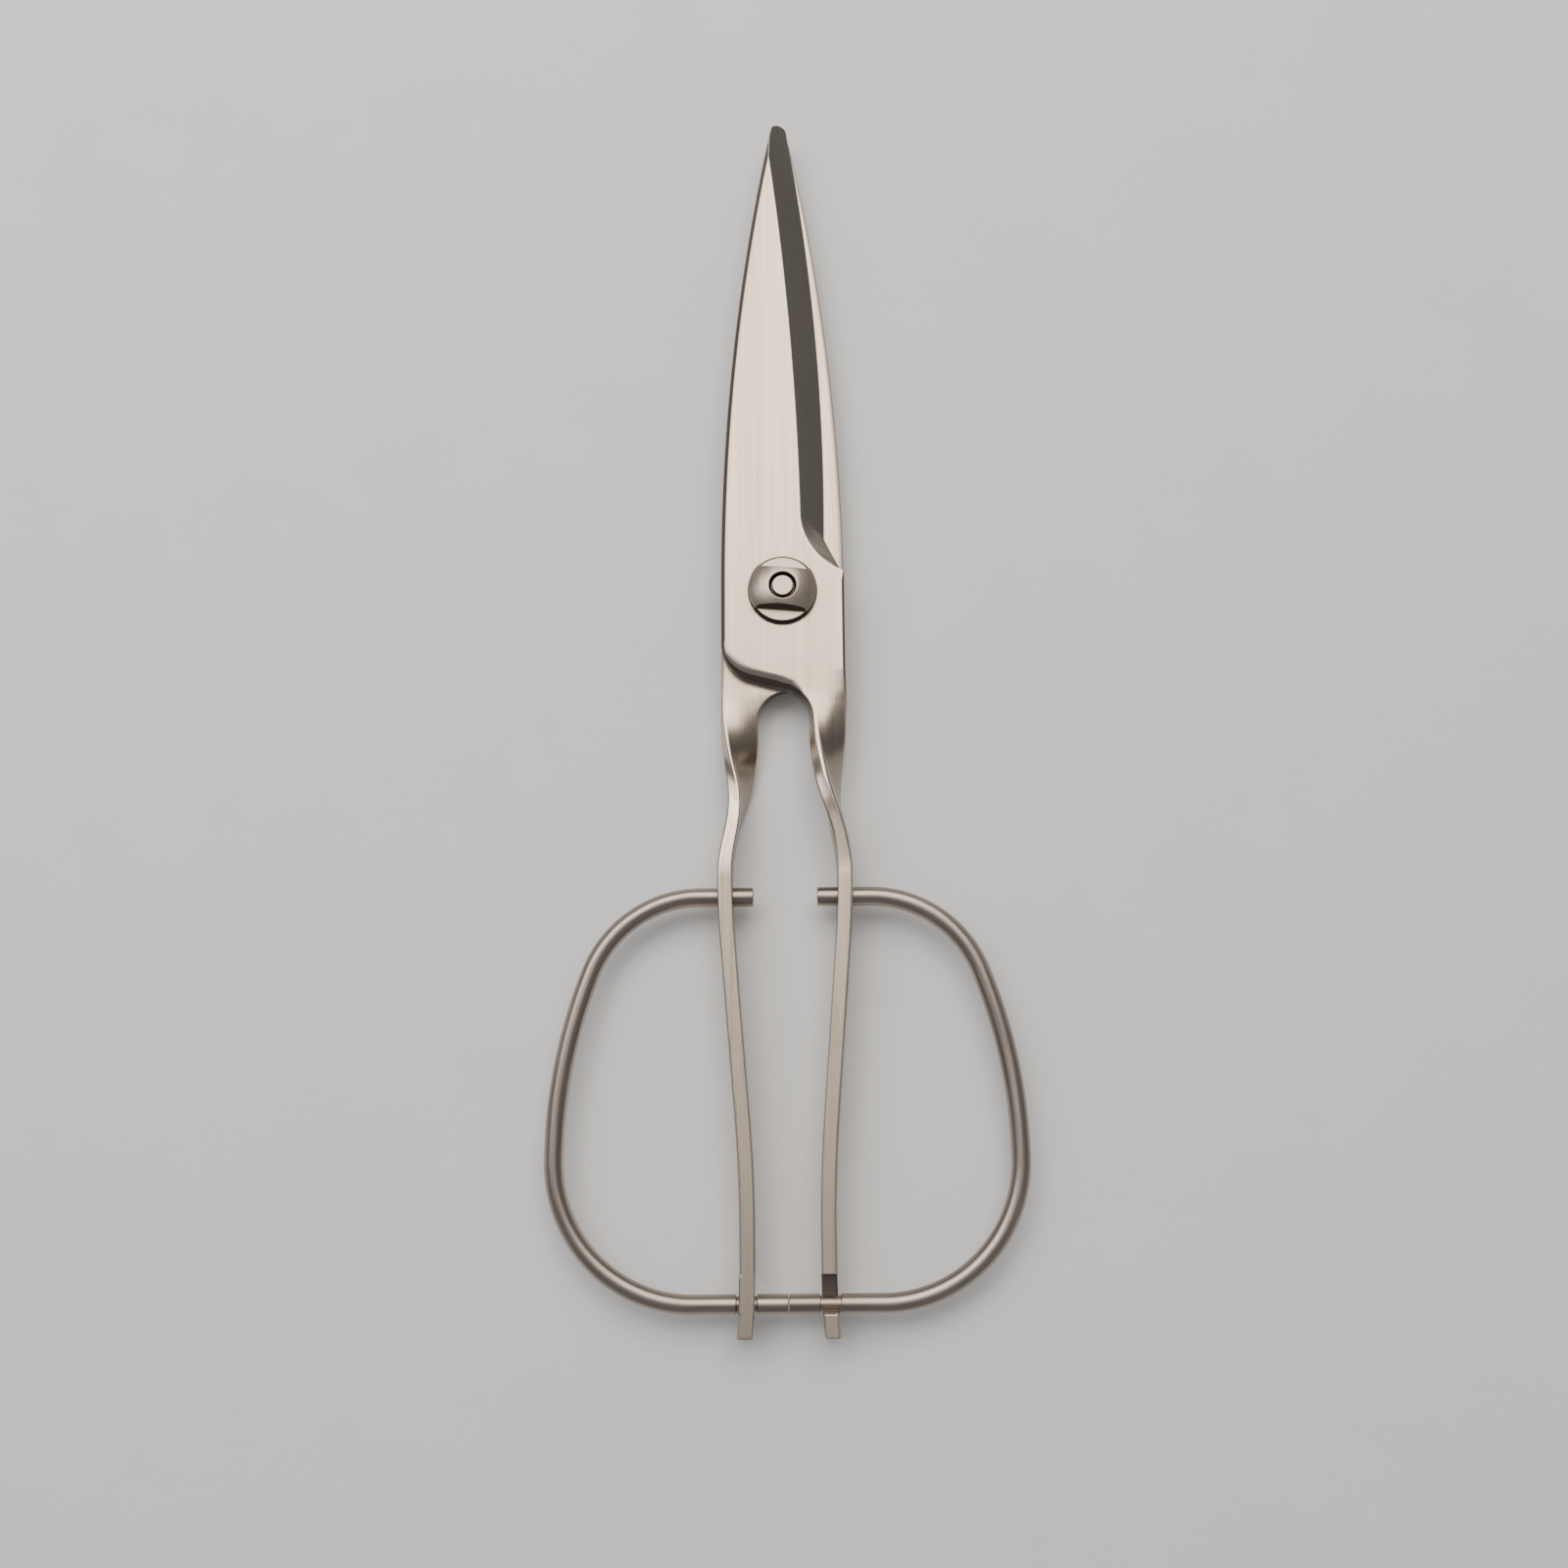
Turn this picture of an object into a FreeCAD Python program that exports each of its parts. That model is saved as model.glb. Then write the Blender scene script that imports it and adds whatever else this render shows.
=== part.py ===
"""Floral snips: two identical forged halves on a screwed pivot, with two clip-in wire finger loops.

Frame: +Y runs from the pivot to the tips, +X to the right, +Z up towards the nut.
The origin is on the pivot axis, in the outer face of the pivot screw's head.
Each half is drawn once, from its inner face (z = 0) outwards, with its spine on the left. The back
half is the same half turned half a turn about the long axis.
"""

import FreeCAD, Part

import math
import os

import Sketcher
from FreeCAD import Placement, Rotation, Vector

DIMENSIONS = {
    # plate and blade
    "plate_thickness": 3.0,
    "half_width": 10.3,
    "spine_straight_top": 1.0,
    "spine_radius": 400.0,
    "tip_shoulder": 85.3,
    "tip_radius": 1.35,
    "tip_end_angle": 10.0,
    "edge_radius": 402.0,
    "edge_width": 7.1,
    "choil_top": 9.8,
    "choil_bottom": 3.4,
    "heel_depth": 16.5,
    "heel_radius": 6.4,
    "heel_corner_y": 8.8,
    "heel_slant": 15.53,
    "plate_chamfer": 0.75,
    "land_inset": 0.25,
    "bevel_inner_x": 3.1,
    "bevel_inner_bottom": 13.0,
    "bevel_inner_radius": 590.0,
    "bevel_tip_x": 3.0,
    "edge_tip_x": 1.15,
    "plunge_radius": 11.42,
    "plunge_foot_x": 11.2,
    "plunge_foot_y": 3.15,
    "grind_overrun": 1.2,
    "grind_reach": 88.0,
    "grind_width": 16.0,
    # neck and handle bar
    "neck_width": 6.0,
    "neck_centre": 7.4,
    "web_radius": 5.2,
    "neck_start_inset": 0.9,
    "neck_length": 30.5,
    "full_twist": 90.0,
    "bar_thickness": 2.5,
    "bar_corner": 0.35,
    "bar_start_x": 9.8,
    "bar_upper_radius": 150.0,
    "bar_upper_drop": 12.0,
    "bar_slope": 0.08,
    "bar_middle_drop": 27.0,
    "bar_lower_radius": 225.0,
    "bar_lower_drop": 18.0,
    "bar_straight_end": 110.0,
    "tail_radius": 107.0,
    "bar_end": 119.8,
    # finger loops
    "wire_diameter": 3.1,
    "upper_leg_y": 50.95,
    "lower_leg_y": 114.8,
    "stub_end_x": 5.2,
    "stop_gap": 0.3,
    "loop_reach": 37.05,
    "upper_corner_radius": 19.0,
    "side_turn": 21.0,
    "lower_corner_radius": 22.1,
    "loop_neck_diameter": 2.5,
    "loop_neck_length": 3.3,
    "leg_clearance": 0.05,
    "notch_height": 6.0,
    "notch_inner_x": 3.0,
    # pivot
    "face_gap": 0.05,
    "head_diameter": 11.4,
    "head_height": 1.8,
    "head_bevel": 0.4,
    "shank_diameter": 5.4,
    "key_diameter": 7.0,
    "bore_clearance": 0.03,
    "thread_diameter": 4.0,
    "thread_end_diameter": 3.45,
    "screw_end_height": 11.15,
    "washer_diameter": 11.35,
    "washer_thickness": 1.0,
    "nut_diameter": 11.3,
    "nut_rim_height": 0.8,
    "nut_dome_radius": 9.0,
    "nut_flats": 7.4,
    "nut_turn": 4.6,
    "countersink_diameter": 4.7,
    "countersink_depth": 0.4,
}

TWIST_SHARE = 0.8
"""Share of the neck's length over which the quarter twist happens."""

BEND_FROM = 0.475
"""Share of the neck's length where it starts to bend outwards and towards the middle plane."""


WEB_SHARES = (0.0366, 0.14, 0.33, 0.62)
"""Shares of the web's depth at which the neck's loft has a section."""

NECK_STEPS = 10
"""Sections of the neck's loft below the web, less one."""

KEY_OVERRUN = 1.2
"""How far the key's flat cuts reach past the key's circle, as a share of it."""

SPINE_SIDE_SHARE = 0.25
"""Edges further left than this share of the half width run along the spine."""

LENGTH_TOLERANCE = 1e-4
"""Two heights closer than this are the same, in millimetres."""

VOLUME_TOLERANCE = 1e-6
"""A cut must take away more than this, in cubic millimetres."""


class Size:
    """A number together with the sheet formula that gives it, so both stay in step."""

    def __init__(self, value, text=None):
        self.value = float(value)
        self.text = text or repr(float(value))

    @staticmethod
    def of(other):
        return other if isinstance(other, Size) else Size(other)

    def __add__(self, other):
        other = Size.of(other)
        return Size(self.value + other.value, f"({self.text} + {other.text})")

    def __sub__(self, other):
        other = Size.of(other)
        return Size(self.value - other.value, f"({self.text} - {other.text})")

    def __mul__(self, other):
        other = Size.of(other)
        return Size(self.value * other.value, f"({self.text} * {other.text})")

    def __truediv__(self, other):
        other = Size.of(other)
        return Size(self.value / other.value, f"({self.text} / {other.text})")

    def __neg__(self):
        return self * -1

    __radd__ = __add__
    __rmul__ = __mul__

    def __rsub__(self, other):
        return Size.of(other) - self


def sine(degrees):
    return Size(math.sin(math.radians(degrees.value)), f"sin({degrees.text} * 1 deg)")


def cosine(degrees):
    return Size(math.cos(math.radians(degrees.value)), f"cos({degrees.text} * 1 deg)")


def root(size):
    return Size(math.sqrt(size.value), f"sqrt({size.text})")


ZERO = Size(0)

doc = FreeCAD.newDocument("floral_snips")
sheet = doc.addObject("Spreadsheet::Sheet", "Dims")
for row, (alias, number) in enumerate(DIMENSIONS.items(), start=1):
    sheet.set(f"A{row}", alias)
    sheet.set(f"B{row}", str(number))
    sheet.setAlias(f"B{row}", alias)
doc.recompute()


def dim(alias):
    """The sheet's dimension as a Size."""
    return Size(DIMENSIONS[alias], f"Dims.{alias}")


# Levels and places that several pieces share.
wall = dim("plate_thickness")
thin = dim("bar_thickness")
gap = dim("face_gap")
plate_floor = dim("head_height")
contact_level = plate_floor + wall
front_level = contact_level + gap
washer_level = front_level + wall + dim("bore_clearance")
nut_level = washer_level + dim("washer_thickness")
wire_level = contact_level + gap / 2
bar_start = dim("heel_depth") + dim("neck_length")


# ---------------------------------------------------------------- drawing helpers

def new_body(label):
    body = doc.addObject("PartDesign::Body", label)
    body.Label = label
    return body


def new_sketch(body, role, name, shift=(ZERO, ZERO, ZERO), turn=None):
    """A sketch on one of the body's own planes, shifted in the plane's frame and turned about its normal."""
    sketch = body.newObject("Sketcher::SketchObject", name)
    plane = next(item for item in body.Origin.OriginFeatures if item.Role == role)
    sketch.AttachmentSupport = [(plane, "")]
    sketch.MapMode = "FlatFace"
    for axis, offset in zip("xyz", shift):
        sketch.setExpression(f"AttachmentOffset.Base.{axis}", offset.text)
    if turn is not None:
        sketch.AttachmentOffset = Placement(Vector(), Rotation(Vector(0, 0, 1), turn.value))
        sketch.setExpression("AttachmentOffset.Rotation.Angle", turn.text)
    return sketch


def bind(sketch, constraint, size):
    """Add a constraint and bind its value to the sheet."""
    index = sketch.addConstraint(constraint)
    sketch.setExpression(f"Constraints[{index}]", size.text)


def pin(sketch, curve, end, x, y):
    """Hold a curve's end at a place measured from the sketch's origin."""
    bind(sketch, Sketcher.Constraint("DistanceX", -1, 1, curve, end, x.value), x)
    bind(sketch, Sketcher.Constraint("DistanceY", -1, 1, curve, end, y.value), y)


def arc_between(start, finish, radius):
    """The minor arc from start to finish; a positive radius turns left."""
    chord = finish - start
    middle = (start + finish) * 0.5
    height = math.sqrt(max(radius * radius - (chord.Length / 2) ** 2, 0.0))
    left = Vector(-chord.y, chord.x, 0).normalize()
    centre = middle + left * math.copysign(height, radius)
    first, last = (start, finish) if radius > 0 else (finish, start)
    angles = [math.atan2(point.y - centre.y, point.x - centre.x) for point in (first, last)]
    circle = Part.Circle(centre, Vector(0, 0, 1), abs(radius))
    return Part.ArcOfCircle(circle, angles[0], angles[1])


def draw(sketch, corners, closed=True):
    """Lines and arcs through the corners in order, each corner bound to the sheet.

    A corner is (x, y, bend): bend is the radius of the arc to the next corner, positive where it
    turns left, or None for a straight line.
    """
    points = [Vector(x.value, y.value, 0) for x, y, _ in corners]
    count = len(corners) if closed else len(corners) - 1
    ends = []
    for index in range(count):
        start, finish = points[index], points[(index + 1) % len(points)]
        bend = corners[index][2]
        if bend is None:
            curve = sketch.addGeometry(Part.LineSegment(start, finish), False)
            ends.append((curve, 1, 2))
        else:
            curve = sketch.addGeometry(arc_between(start, finish, bend.value), False)
            ends.append((curve, 1, 2) if bend.value > 0 else (curve, 2, 1))
    for index, (curve, start, finish) in enumerate(ends):
        pin(sketch, curve, start, corners[index][0], corners[index][1])
        if index + 1 < count or closed:
            following = ends[(index + 1) % count]
            sketch.addConstraint(Sketcher.Constraint("Coincident", curve, finish, following[0], following[1]))
        else:
            pin(sketch, curve, finish, corners[-1][0], corners[-1][1])
        bend = corners[index][2]
        if bend is not None:
            size = bend if bend.value > 0 else -bend
            bind(sketch, Sketcher.Constraint("Radius", curve, size.value), size)


def draw_box(sketch, left, right, bottom, top):
    draw(sketch, [(left, bottom, None), (right, bottom, None), (right, top, None), (left, top, None)])


def draw_rounded_box(sketch, left, right, bottom, top, corner):
    draw(sketch, [
        (left + corner, bottom, None),
        (right - corner, bottom, corner),
        (right, bottom + corner, None),
        (right, top - corner, corner),
        (right - corner, top, None),
        (left + corner, top, corner),
        (left, top - corner, None),
        (left, bottom + corner, corner),
    ])


def draw_circle(sketch, x, y, diameter):
    curve = sketch.addGeometry(Part.Circle(Vector(x.value, y.value, 0), Vector(0, 0, 1), diameter.value / 2), False)
    pin(sketch, curve, 3, x, y)
    bind(sketch, Sketcher.Constraint("Diameter", curve, diameter.value), diameter)


def feature(body, kind, name, profile, expressions=None, **settings):
    """A feature of the body on one profile, with its own settings and bound sizes."""
    made = body.newObject(f"PartDesign::{kind}", name)
    made.Profile = profile
    for key, value in settings.items():
        setattr(made, key, value)
    for key, size in (expressions or {}).items():
        made.setExpression(key, size.text)
    profile.Visibility = False
    doc.recompute()
    return made


def cutting_feature(body, kind, name, profile, expressions=None, **settings):
    """A feature that must take material away."""
    before = body.Shape.Volume
    made = feature(body, kind, name, profile, expressions, **settings)
    if not body.Shape.Volume < before - VOLUME_TOLERANCE:
        raise RuntimeError(f"{body.Label}.{name} cuts nothing")
    return made


# ---------------------------------------------------------------- the forged half

def smooth_step(share):
    """0 to 1 with level ends."""
    share = min(max(share, 0.0), 1.0)
    return share * share * (3 - 2 * share)


def slant_start():
    """Where the heel's corner arc runs into its slanted line."""
    radius, slant = dim("heel_radius"), dim("heel_slant")
    return radius - dim("half_width") - radius * sine(slant), -dim("heel_corner_y") - radius * cosine(slant)


def web_start():
    """Where the heel's slanted line reaches the heel's depth."""
    x, y = slant_start()
    return x + (dim("heel_depth") + y) * cosine(dim("heel_slant")) / sine(dim("heel_slant"))


def draw_plate(sketch):
    """Outline of the flat plate: spine, tip, cutting edge, choil, right side and heel."""
    width, radius, tip = dim("half_width"), dim("spine_radius"), dim("tip_radius")
    rise = dim("tip_shoulder") - dim("spine_straight_top")
    lean_sine = rise / radius
    lean_cosine = root(1 - lean_sine * lean_sine)
    tip_left = radius - radius * lean_cosine - width
    tip_end_x = tip_left + tip * lean_cosine + tip * cosine(dim("tip_end_angle"))
    tip_end_y = dim("tip_shoulder") - tip * lean_sine + tip * sine(dim("tip_end_angle"))
    draw(sketch, [
        (-width, -dim("heel_corner_y"), None),
        (-width, dim("spine_straight_top"), -radius),
        (tip_left, dim("tip_shoulder"), -tip),
        (tip_end_x, tip_end_y, -dim("edge_radius")),
        (dim("edge_width"), dim("choil_top"), None),
        (width, dim("choil_bottom"), None),
        (width, -dim("heel_depth"), None),
        (web_start(), -dim("heel_depth"), None),
        (*slant_start(), -dim("heel_radius")),
    ])


def draw_grind(sketch, edge, choil, radius, second):
    """Outline of what the grinding takes away at one level: everything right of the edge curve."""
    reach, side = dim("grind_reach"), dim("grind_width")
    draw(sketch, [
        (edge[0], edge[1], -radius),
        (choil[0], choil[1], second[2]),
        (second[0], second[1], None),
        (side, second[1], None),
        (side, reach, None),
    ])


def add_bevel(body):
    """Grind the cutting bevel: a ruled cut from the line on the outer face down to the edge."""
    inset, reach = dim("land_inset"), dim("grind_reach")
    width, overrun = dim("half_width"), dim("grind_overrun")
    low = new_sketch(body, "XY_Plane", "grind_at_edge")
    edge_tip = dim("edge_tip_x")
    draw_grind(low, (edge_tip, reach), (dim("edge_width") + inset, dim("choil_top") + inset / 2),
               dim("edge_radius"), (width + overrun, dim("choil_bottom") - overrun, None))
    high = new_sketch(body, "XY_Plane", "grind_on_face", (ZERO, ZERO, wall))
    draw_grind(high, (-dim("bevel_tip_x"), reach), (dim("bevel_inner_x"), dim("bevel_inner_bottom")),
               dim("bevel_inner_radius"), (dim("plunge_foot_x"), dim("plunge_foot_y"), dim("plunge_radius")))
    cutting_feature(body, "SubtractiveLoft", "cutting_bevel", low, Sections=[high], Ruled=True)


def add_neck(body):
    """Loft the web and the neck: it turns a quarter turn, bends out and moves to the middle plane."""
    web, length = dim("web_radius"), dim("neck_length")
    half = dim("neck_width") / 2
    web_part = web.value / length.value
    neck_shares = [web_part + (1 - web_part) * step / NECK_STEPS for step in range(NECK_STEPS + 1)]
    web_left = dim("neck_centre") - web_start()
    stations = [(-dim("neck_start_inset"), web_left, 0.0), (ZERO, web_left, 0.0)]
    stations += [(web * share, half + web * (1 - math.sqrt(1 - (1 - share) ** 2)), share * web_part)
                for share in WEB_SHARES]
    stations += [(length * share, half, share) for share in neck_shares]
    sections = []
    for index, (drop, left, share) in enumerate(stations):
        twist = smooth_step(share / TWIST_SHARE)
        bend = smooth_step((share - BEND_FROM) / (1 - BEND_FROM))
        centre_x = dim("neck_centre") + (dim("bar_start_x") - dim("neck_centre")) * bend
        centre_z = wall / 2 * (1 - bend) - gap / 2 * bend
        section = new_sketch(body, "XZ_Plane", f"neck_section_{index:02d}",
                             (centre_x, centre_z, dim("heel_depth") + drop), -dim("full_twist") * twist)
        corner = dim("plate_chamfer") + (dim("bar_corner") - dim("plate_chamfer")) * share
        right = half - (dim("neck_centre") + half - dim("half_width")) * (1 - share)
        thick = wall * (1 - bend) + thin * bend
        draw_rounded_box(section, -left, right, -thick / 2, thick / 2, corner)
        sections.append(section)
    feature(body, "AdditiveLoft", "twisted_neck", sections[0], Sections=sections[1:])


def bar_places():
    """The corners of the handle bar's centre line, from the neck to the tail."""
    slope = dim("bar_slope")
    first_y = bar_start + dim("bar_upper_drop")
    first_x = dim("bar_start_x") - dim("bar_upper_drop") * slope / 2
    second_y = first_y + dim("bar_middle_drop")
    second_x = first_x - dim("bar_middle_drop") * slope
    third_y = second_y + dim("bar_lower_drop")
    third_x = second_x - dim("bar_lower_drop") * slope / 2
    tail = dim("bar_end") - dim("bar_straight_end")
    end_x = third_x + tail * tail / (2 * dim("tail_radius"))
    return [
        (dim("bar_start_x"), -bar_start, -dim("bar_upper_radius")),
        (first_x, -first_y, None),
        (second_x, -second_y, dim("bar_lower_radius")),
        (third_x, -third_y, None),
        (third_x, -dim("bar_straight_end"), dim("tail_radius")),
        (end_x, -dim("bar_end"), None),
    ]


def add_bar(body):
    """Sweep the handle bar, seen edge on from the front, down to its tail."""
    path = new_sketch(body, "XY_Plane", "bar_path", (ZERO, ZERO, -gap / 2))
    draw(path, bar_places(), closed=False)
    path.Visibility = False
    section = new_sketch(body, "XZ_Plane", "bar_section", (dim("bar_start_x"), -gap / 2, bar_start))
    half = dim("neck_width") / 2
    draw_rounded_box(section, -thin / 2, thin / 2, -half, half, dim("bar_corner"))
    feature(body, "AdditivePipe", "handle_bar", section, Spine=(path, []))


def cut_loop_seats(body):
    """Bore the bar for the upper leg and cut the open notch for the lower leg's neck."""
    bore = new_sketch(body, "YZ_Plane", "upper_leg_bore")
    draw_circle(bore, -dim("upper_leg_y"), -gap / 2, dim("wire_diameter") + 2 * dim("leg_clearance"))
    cutting_feature(body, "Pocket", "upper_leg_hole", bore, Type="ThroughAll", Midplane=True)
    neck_radius = dim("loop_neck_diameter") / 2 + dim("leg_clearance")
    notch = new_sketch(body, "XY_Plane", "notch_outline", (ZERO, ZERO, -gap / 2 - neck_radius))
    lower = -dim("lower_leg_y") - neck_radius
    draw_box(notch, dim("notch_inner_x"), dim("bar_start_x"), lower, lower + dim("notch_height"))
    cutting_feature(body, "Pocket", "lower_leg_notch", notch, Type="ThroughAll", Reversed=True)


def cut_pivot_bore(body, keyed):
    """Bore the plate for the pivot: round in the half that turns, with two flats in the other."""
    clearance = dim("bore_clearance")
    bore = new_sketch(body, "XY_Plane", "pivot_bore_outline")
    if keyed:
        half_flat = dim("shank_diameter") / 2 + clearance
        radius = dim("key_diameter") / 2 + clearance
        half_length = root(radius * radius - half_flat * half_flat)
        draw(bore, [
            (half_length, -half_flat, radius),
            (half_length, half_flat, None),
            (-half_length, half_flat, radius),
            (-half_length, -half_flat, None),
        ])
    else:
        draw_circle(bore, ZERO, ZERO, dim("shank_diameter") + 2 * clearance)
    cutting_feature(body, "Pocket", "pivot_bore", bore, Type="ThroughAll", Reversed=True)


def break_face_edges(body):
    """Chamfer the outer face's edges down the spine, round the heel and up the right side."""
    plate = body.Tip
    names = []
    for index, edge in enumerate(plate.Shape.Edges, start=1):
        middle = edge.CenterOfMass
        on_face = edge.BoundBox.ZMin > wall.value - LENGTH_TOLERANCE
        round_heel = middle.y < 0 and middle.x > -dim("half_width").value
        if on_face and (middle.x < -dim("half_width").value * SPINE_SIDE_SHARE or round_heel):
            names.append(f"Edge{index}")
    made = body.newObject("PartDesign::Chamfer", "face_edge_chamfer")
    made.Base = (plate, names)
    made.setExpression("Size", dim("plate_chamfer").text)
    doc.recompute()


def make_half(label, keyed):
    body = new_body(label)
    outline = new_sketch(body, "XY_Plane", "plate_outline")
    draw_plate(outline)
    plate = feature(body, "Pad", "plate", outline, {"Length": wall})
    break_face_edges(body)
    add_bevel(body)
    add_neck(body)
    add_bar(body)
    cut_loop_seats(body)
    cut_pivot_bore(body, keyed)
    return body


# ---------------------------------------------------------------- the finger loops

def loop_places():
    """The corners of the wire's centre line: stub, upper corner, long side, lower corner, stop end."""
    turn, reach = dim("side_turn"), dim("loop_reach")
    upper, lower = dim("upper_corner_radius"), dim("lower_corner_radius")
    side_top_y = dim("upper_leg_y") + upper * (1 - sine(turn))
    side_bottom_y = dim("lower_leg_y") - lower
    side_radius = (side_bottom_y - side_top_y) / sine(turn)
    side_top_x = reach - side_radius * (1 - cosine(turn))
    return [
        (dim("stub_end_x"), -dim("upper_leg_y"), None),
        (side_top_x - upper * cosine(turn), -dim("upper_leg_y"), -upper),
        (side_top_x, -side_top_y, -side_radius),
        (reach, -side_bottom_y, -lower),
        (reach - lower, -dim("lower_leg_y"), None),
        (dim("stop_gap") / 2, -dim("lower_leg_y"), None),
    ]


def make_loop(label):
    """A bent wire with a turned-down neck where its lower leg sits in the bar's notch."""
    body = new_body(label)
    path = new_sketch(body, "XY_Plane", "wire_path")
    draw(path, loop_places(), closed=False)
    path.Visibility = False
    section = new_sketch(body, "YZ_Plane", "wire_section", (ZERO, ZERO, dim("stub_end_x")))
    draw_circle(section, -dim("upper_leg_y"), ZERO, dim("wire_diameter"))
    feature(body, "AdditivePipe", "wire", section, Spine=(path, []))
    straight_end = bar_places()[-2]
    below = dim("lower_leg_y") - dim("bar_straight_end")
    neck_x = straight_end[0] + below * below / (2 * dim("tail_radius"))
    turned = new_sketch(body, "XY_Plane", "neck_outline", (ZERO, -dim("lower_leg_y"), ZERO))
    half = dim("loop_neck_length") / 2
    draw_box(turned, neck_x - half, neck_x + half, dim("loop_neck_diameter") / 2, dim("wire_diameter"))
    cutting_feature(body, "Groove", "lower_leg_neck", turned, ReferenceAxis=(turned, ["H_Axis"]), Angle=360.0)
    return body


# ---------------------------------------------------------------- the pivot

def make_screw():
    """Low round head, flatted key in the back half, bearing shank in the front half, threaded end."""
    body = new_body("pivot_screw")
    profile = new_sketch(body, "XZ_Plane", "screw_profile")
    head, key = dim("head_diameter") / 2, dim("key_diameter") / 2
    shank, thread = dim("shank_diameter") / 2, dim("thread_diameter") / 2
    bevel, end = dim("head_bevel"), dim("screw_end_height")
    tip = dim("thread_end_diameter") / 2
    draw(profile, [
        (ZERO, ZERO, None),
        (head - 2 * bevel, ZERO, None),
        (head, bevel, None),
        (head, plate_floor, None),
        (key, plate_floor, None),
        (key, contact_level, None),
        (shank, contact_level, None),
        (shank, washer_level, None),
        (thread, washer_level, None),
        (thread, end - (thread - tip), None),
        (tip, end, None),
        (ZERO, end, None),
    ])
    feature(body, "Revolution", "turned_screw", profile, ReferenceAxis=(profile, ["V_Axis"]), Angle=360.0)
    half_flat = dim("shank_diameter") / 2
    flats = new_sketch(body, "XY_Plane", "key_flats", (ZERO, ZERO, plate_floor))
    for side in (1, -1):
        near, far = half_flat * side, key * side * KEY_OVERRUN
        low, high = (near, far) if side > 0 else (far, near)
        draw_box(flats, -key, key, low, high)
    cutting_feature(body, "Pocket", "key_flat_cut", flats, {"Length": wall}, Reversed=True)
    return body


def make_washer():
    body = new_body("pivot_washer")
    outline = new_sketch(body, "XY_Plane", "washer_outline", (ZERO, ZERO, washer_level))
    draw_circle(outline, ZERO, ZERO, dim("washer_diameter"))
    draw_circle(outline, ZERO, ZERO, dim("thread_diameter") + 2 * dim("leg_clearance"))
    feature(body, "Pad", "washer_ring", outline, {"Length": dim("washer_thickness")})
    return body


def make_nut():
    """Domed round nut with a countersunk thread hole and two milled flats."""
    body = new_body("pivot_nut")
    profile = new_sketch(body, "XZ_Plane", "nut_profile")
    outer, thread = dim("nut_diameter") / 2, dim("thread_diameter") / 2
    sink = dim("countersink_diameter") / 2
    dome = dim("nut_dome_radius")
    rim_level = nut_level + dim("nut_rim_height")
    lip_level = rim_level - root(dome * dome - outer * outer) + root(dome * dome - sink * sink)
    draw(profile, [
        (thread, nut_level, None),
        (outer, nut_level, None),
        (outer, rim_level, dome),
        (sink, lip_level, None),
        (thread, lip_level - dim("countersink_depth"), None),
    ])
    feature(body, "Revolution", "turned_nut", profile, ReferenceAxis=(profile, ["V_Axis"]), Angle=360.0)
    flats = new_sketch(body, "XY_Plane", "nut_flats", (ZERO, ZERO, nut_level), -dim("nut_turn"))
    for side in (1, -1):
        near, far = dim("nut_flats") / 2 * side, dim("nut_diameter") * side
        low, high = (near, far) if side > 0 else (far, near)
        draw_box(flats, -dim("nut_diameter"), dim("nut_diameter"), low, high)
    cutting_feature(body, "Pocket", "nut_flat_cut", flats, Type="ThroughAll", Reversed=True)
    return body


# ---------------------------------------------------------------- assembly and export

def place(body, level, turned):
    """Lift a body to its level; a turned body is rotated half a turn about the long axis."""
    turn = Rotation(Vector(0, 1, 0), 180 if turned else 0)
    body.Placement = Placement(Vector(0, 0, level.value), turn)
    body.setExpression("Placement.Base.z", level.text)


def check_objects():
    """Stop unless every object of the document is sound."""
    doc.recompute()
    for item in doc.Objects:
        if {"Invalid", "Error"} & set(item.State):
            raise RuntimeError(f"{item.Label} has failed: {item.State}")
    for body in pieces:
        if body.Shape.isNull() or not body.Shape.isValid() or len(body.Shape.Solids) != 1:
            raise RuntimeError(f"{body.Label} is not one valid solid")


front_blade = make_half("front_blade", keyed=False)
back_blade = make_half("back_blade", keyed=True)
right_loop = make_loop("right_finger_loop")
left_loop = make_loop("left_finger_loop")
screw = make_screw()
washer = make_washer()
nut = make_nut()
pieces = [front_blade, back_blade, right_loop, left_loop, screw, washer, nut]

place(front_blade, front_level, turned=False)
place(back_blade, contact_level, turned=True)
place(right_loop, wire_level, turned=False)
place(left_loop, wire_level, turned=True)
check_objects()

os.makedirs("parts", exist_ok=True)
for piece in pieces:
    piece.Shape.exportStep(f"parts/{piece.Label}.step")
    print(f"{piece.Label}: {piece.Shape.Volume:.0f} mm3")
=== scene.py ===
"""Looks for the floral snips: forged halves, wire finger loops and the screwed pivot.

Every piece is worked out in millimetres in the part's own frame and written in metres.
"""

import logging
import math
from dataclasses import dataclass, field
from enum import Enum
from typing import Any

import bpy
import numpy as np
from mathutils import Matrix, Vector


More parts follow.
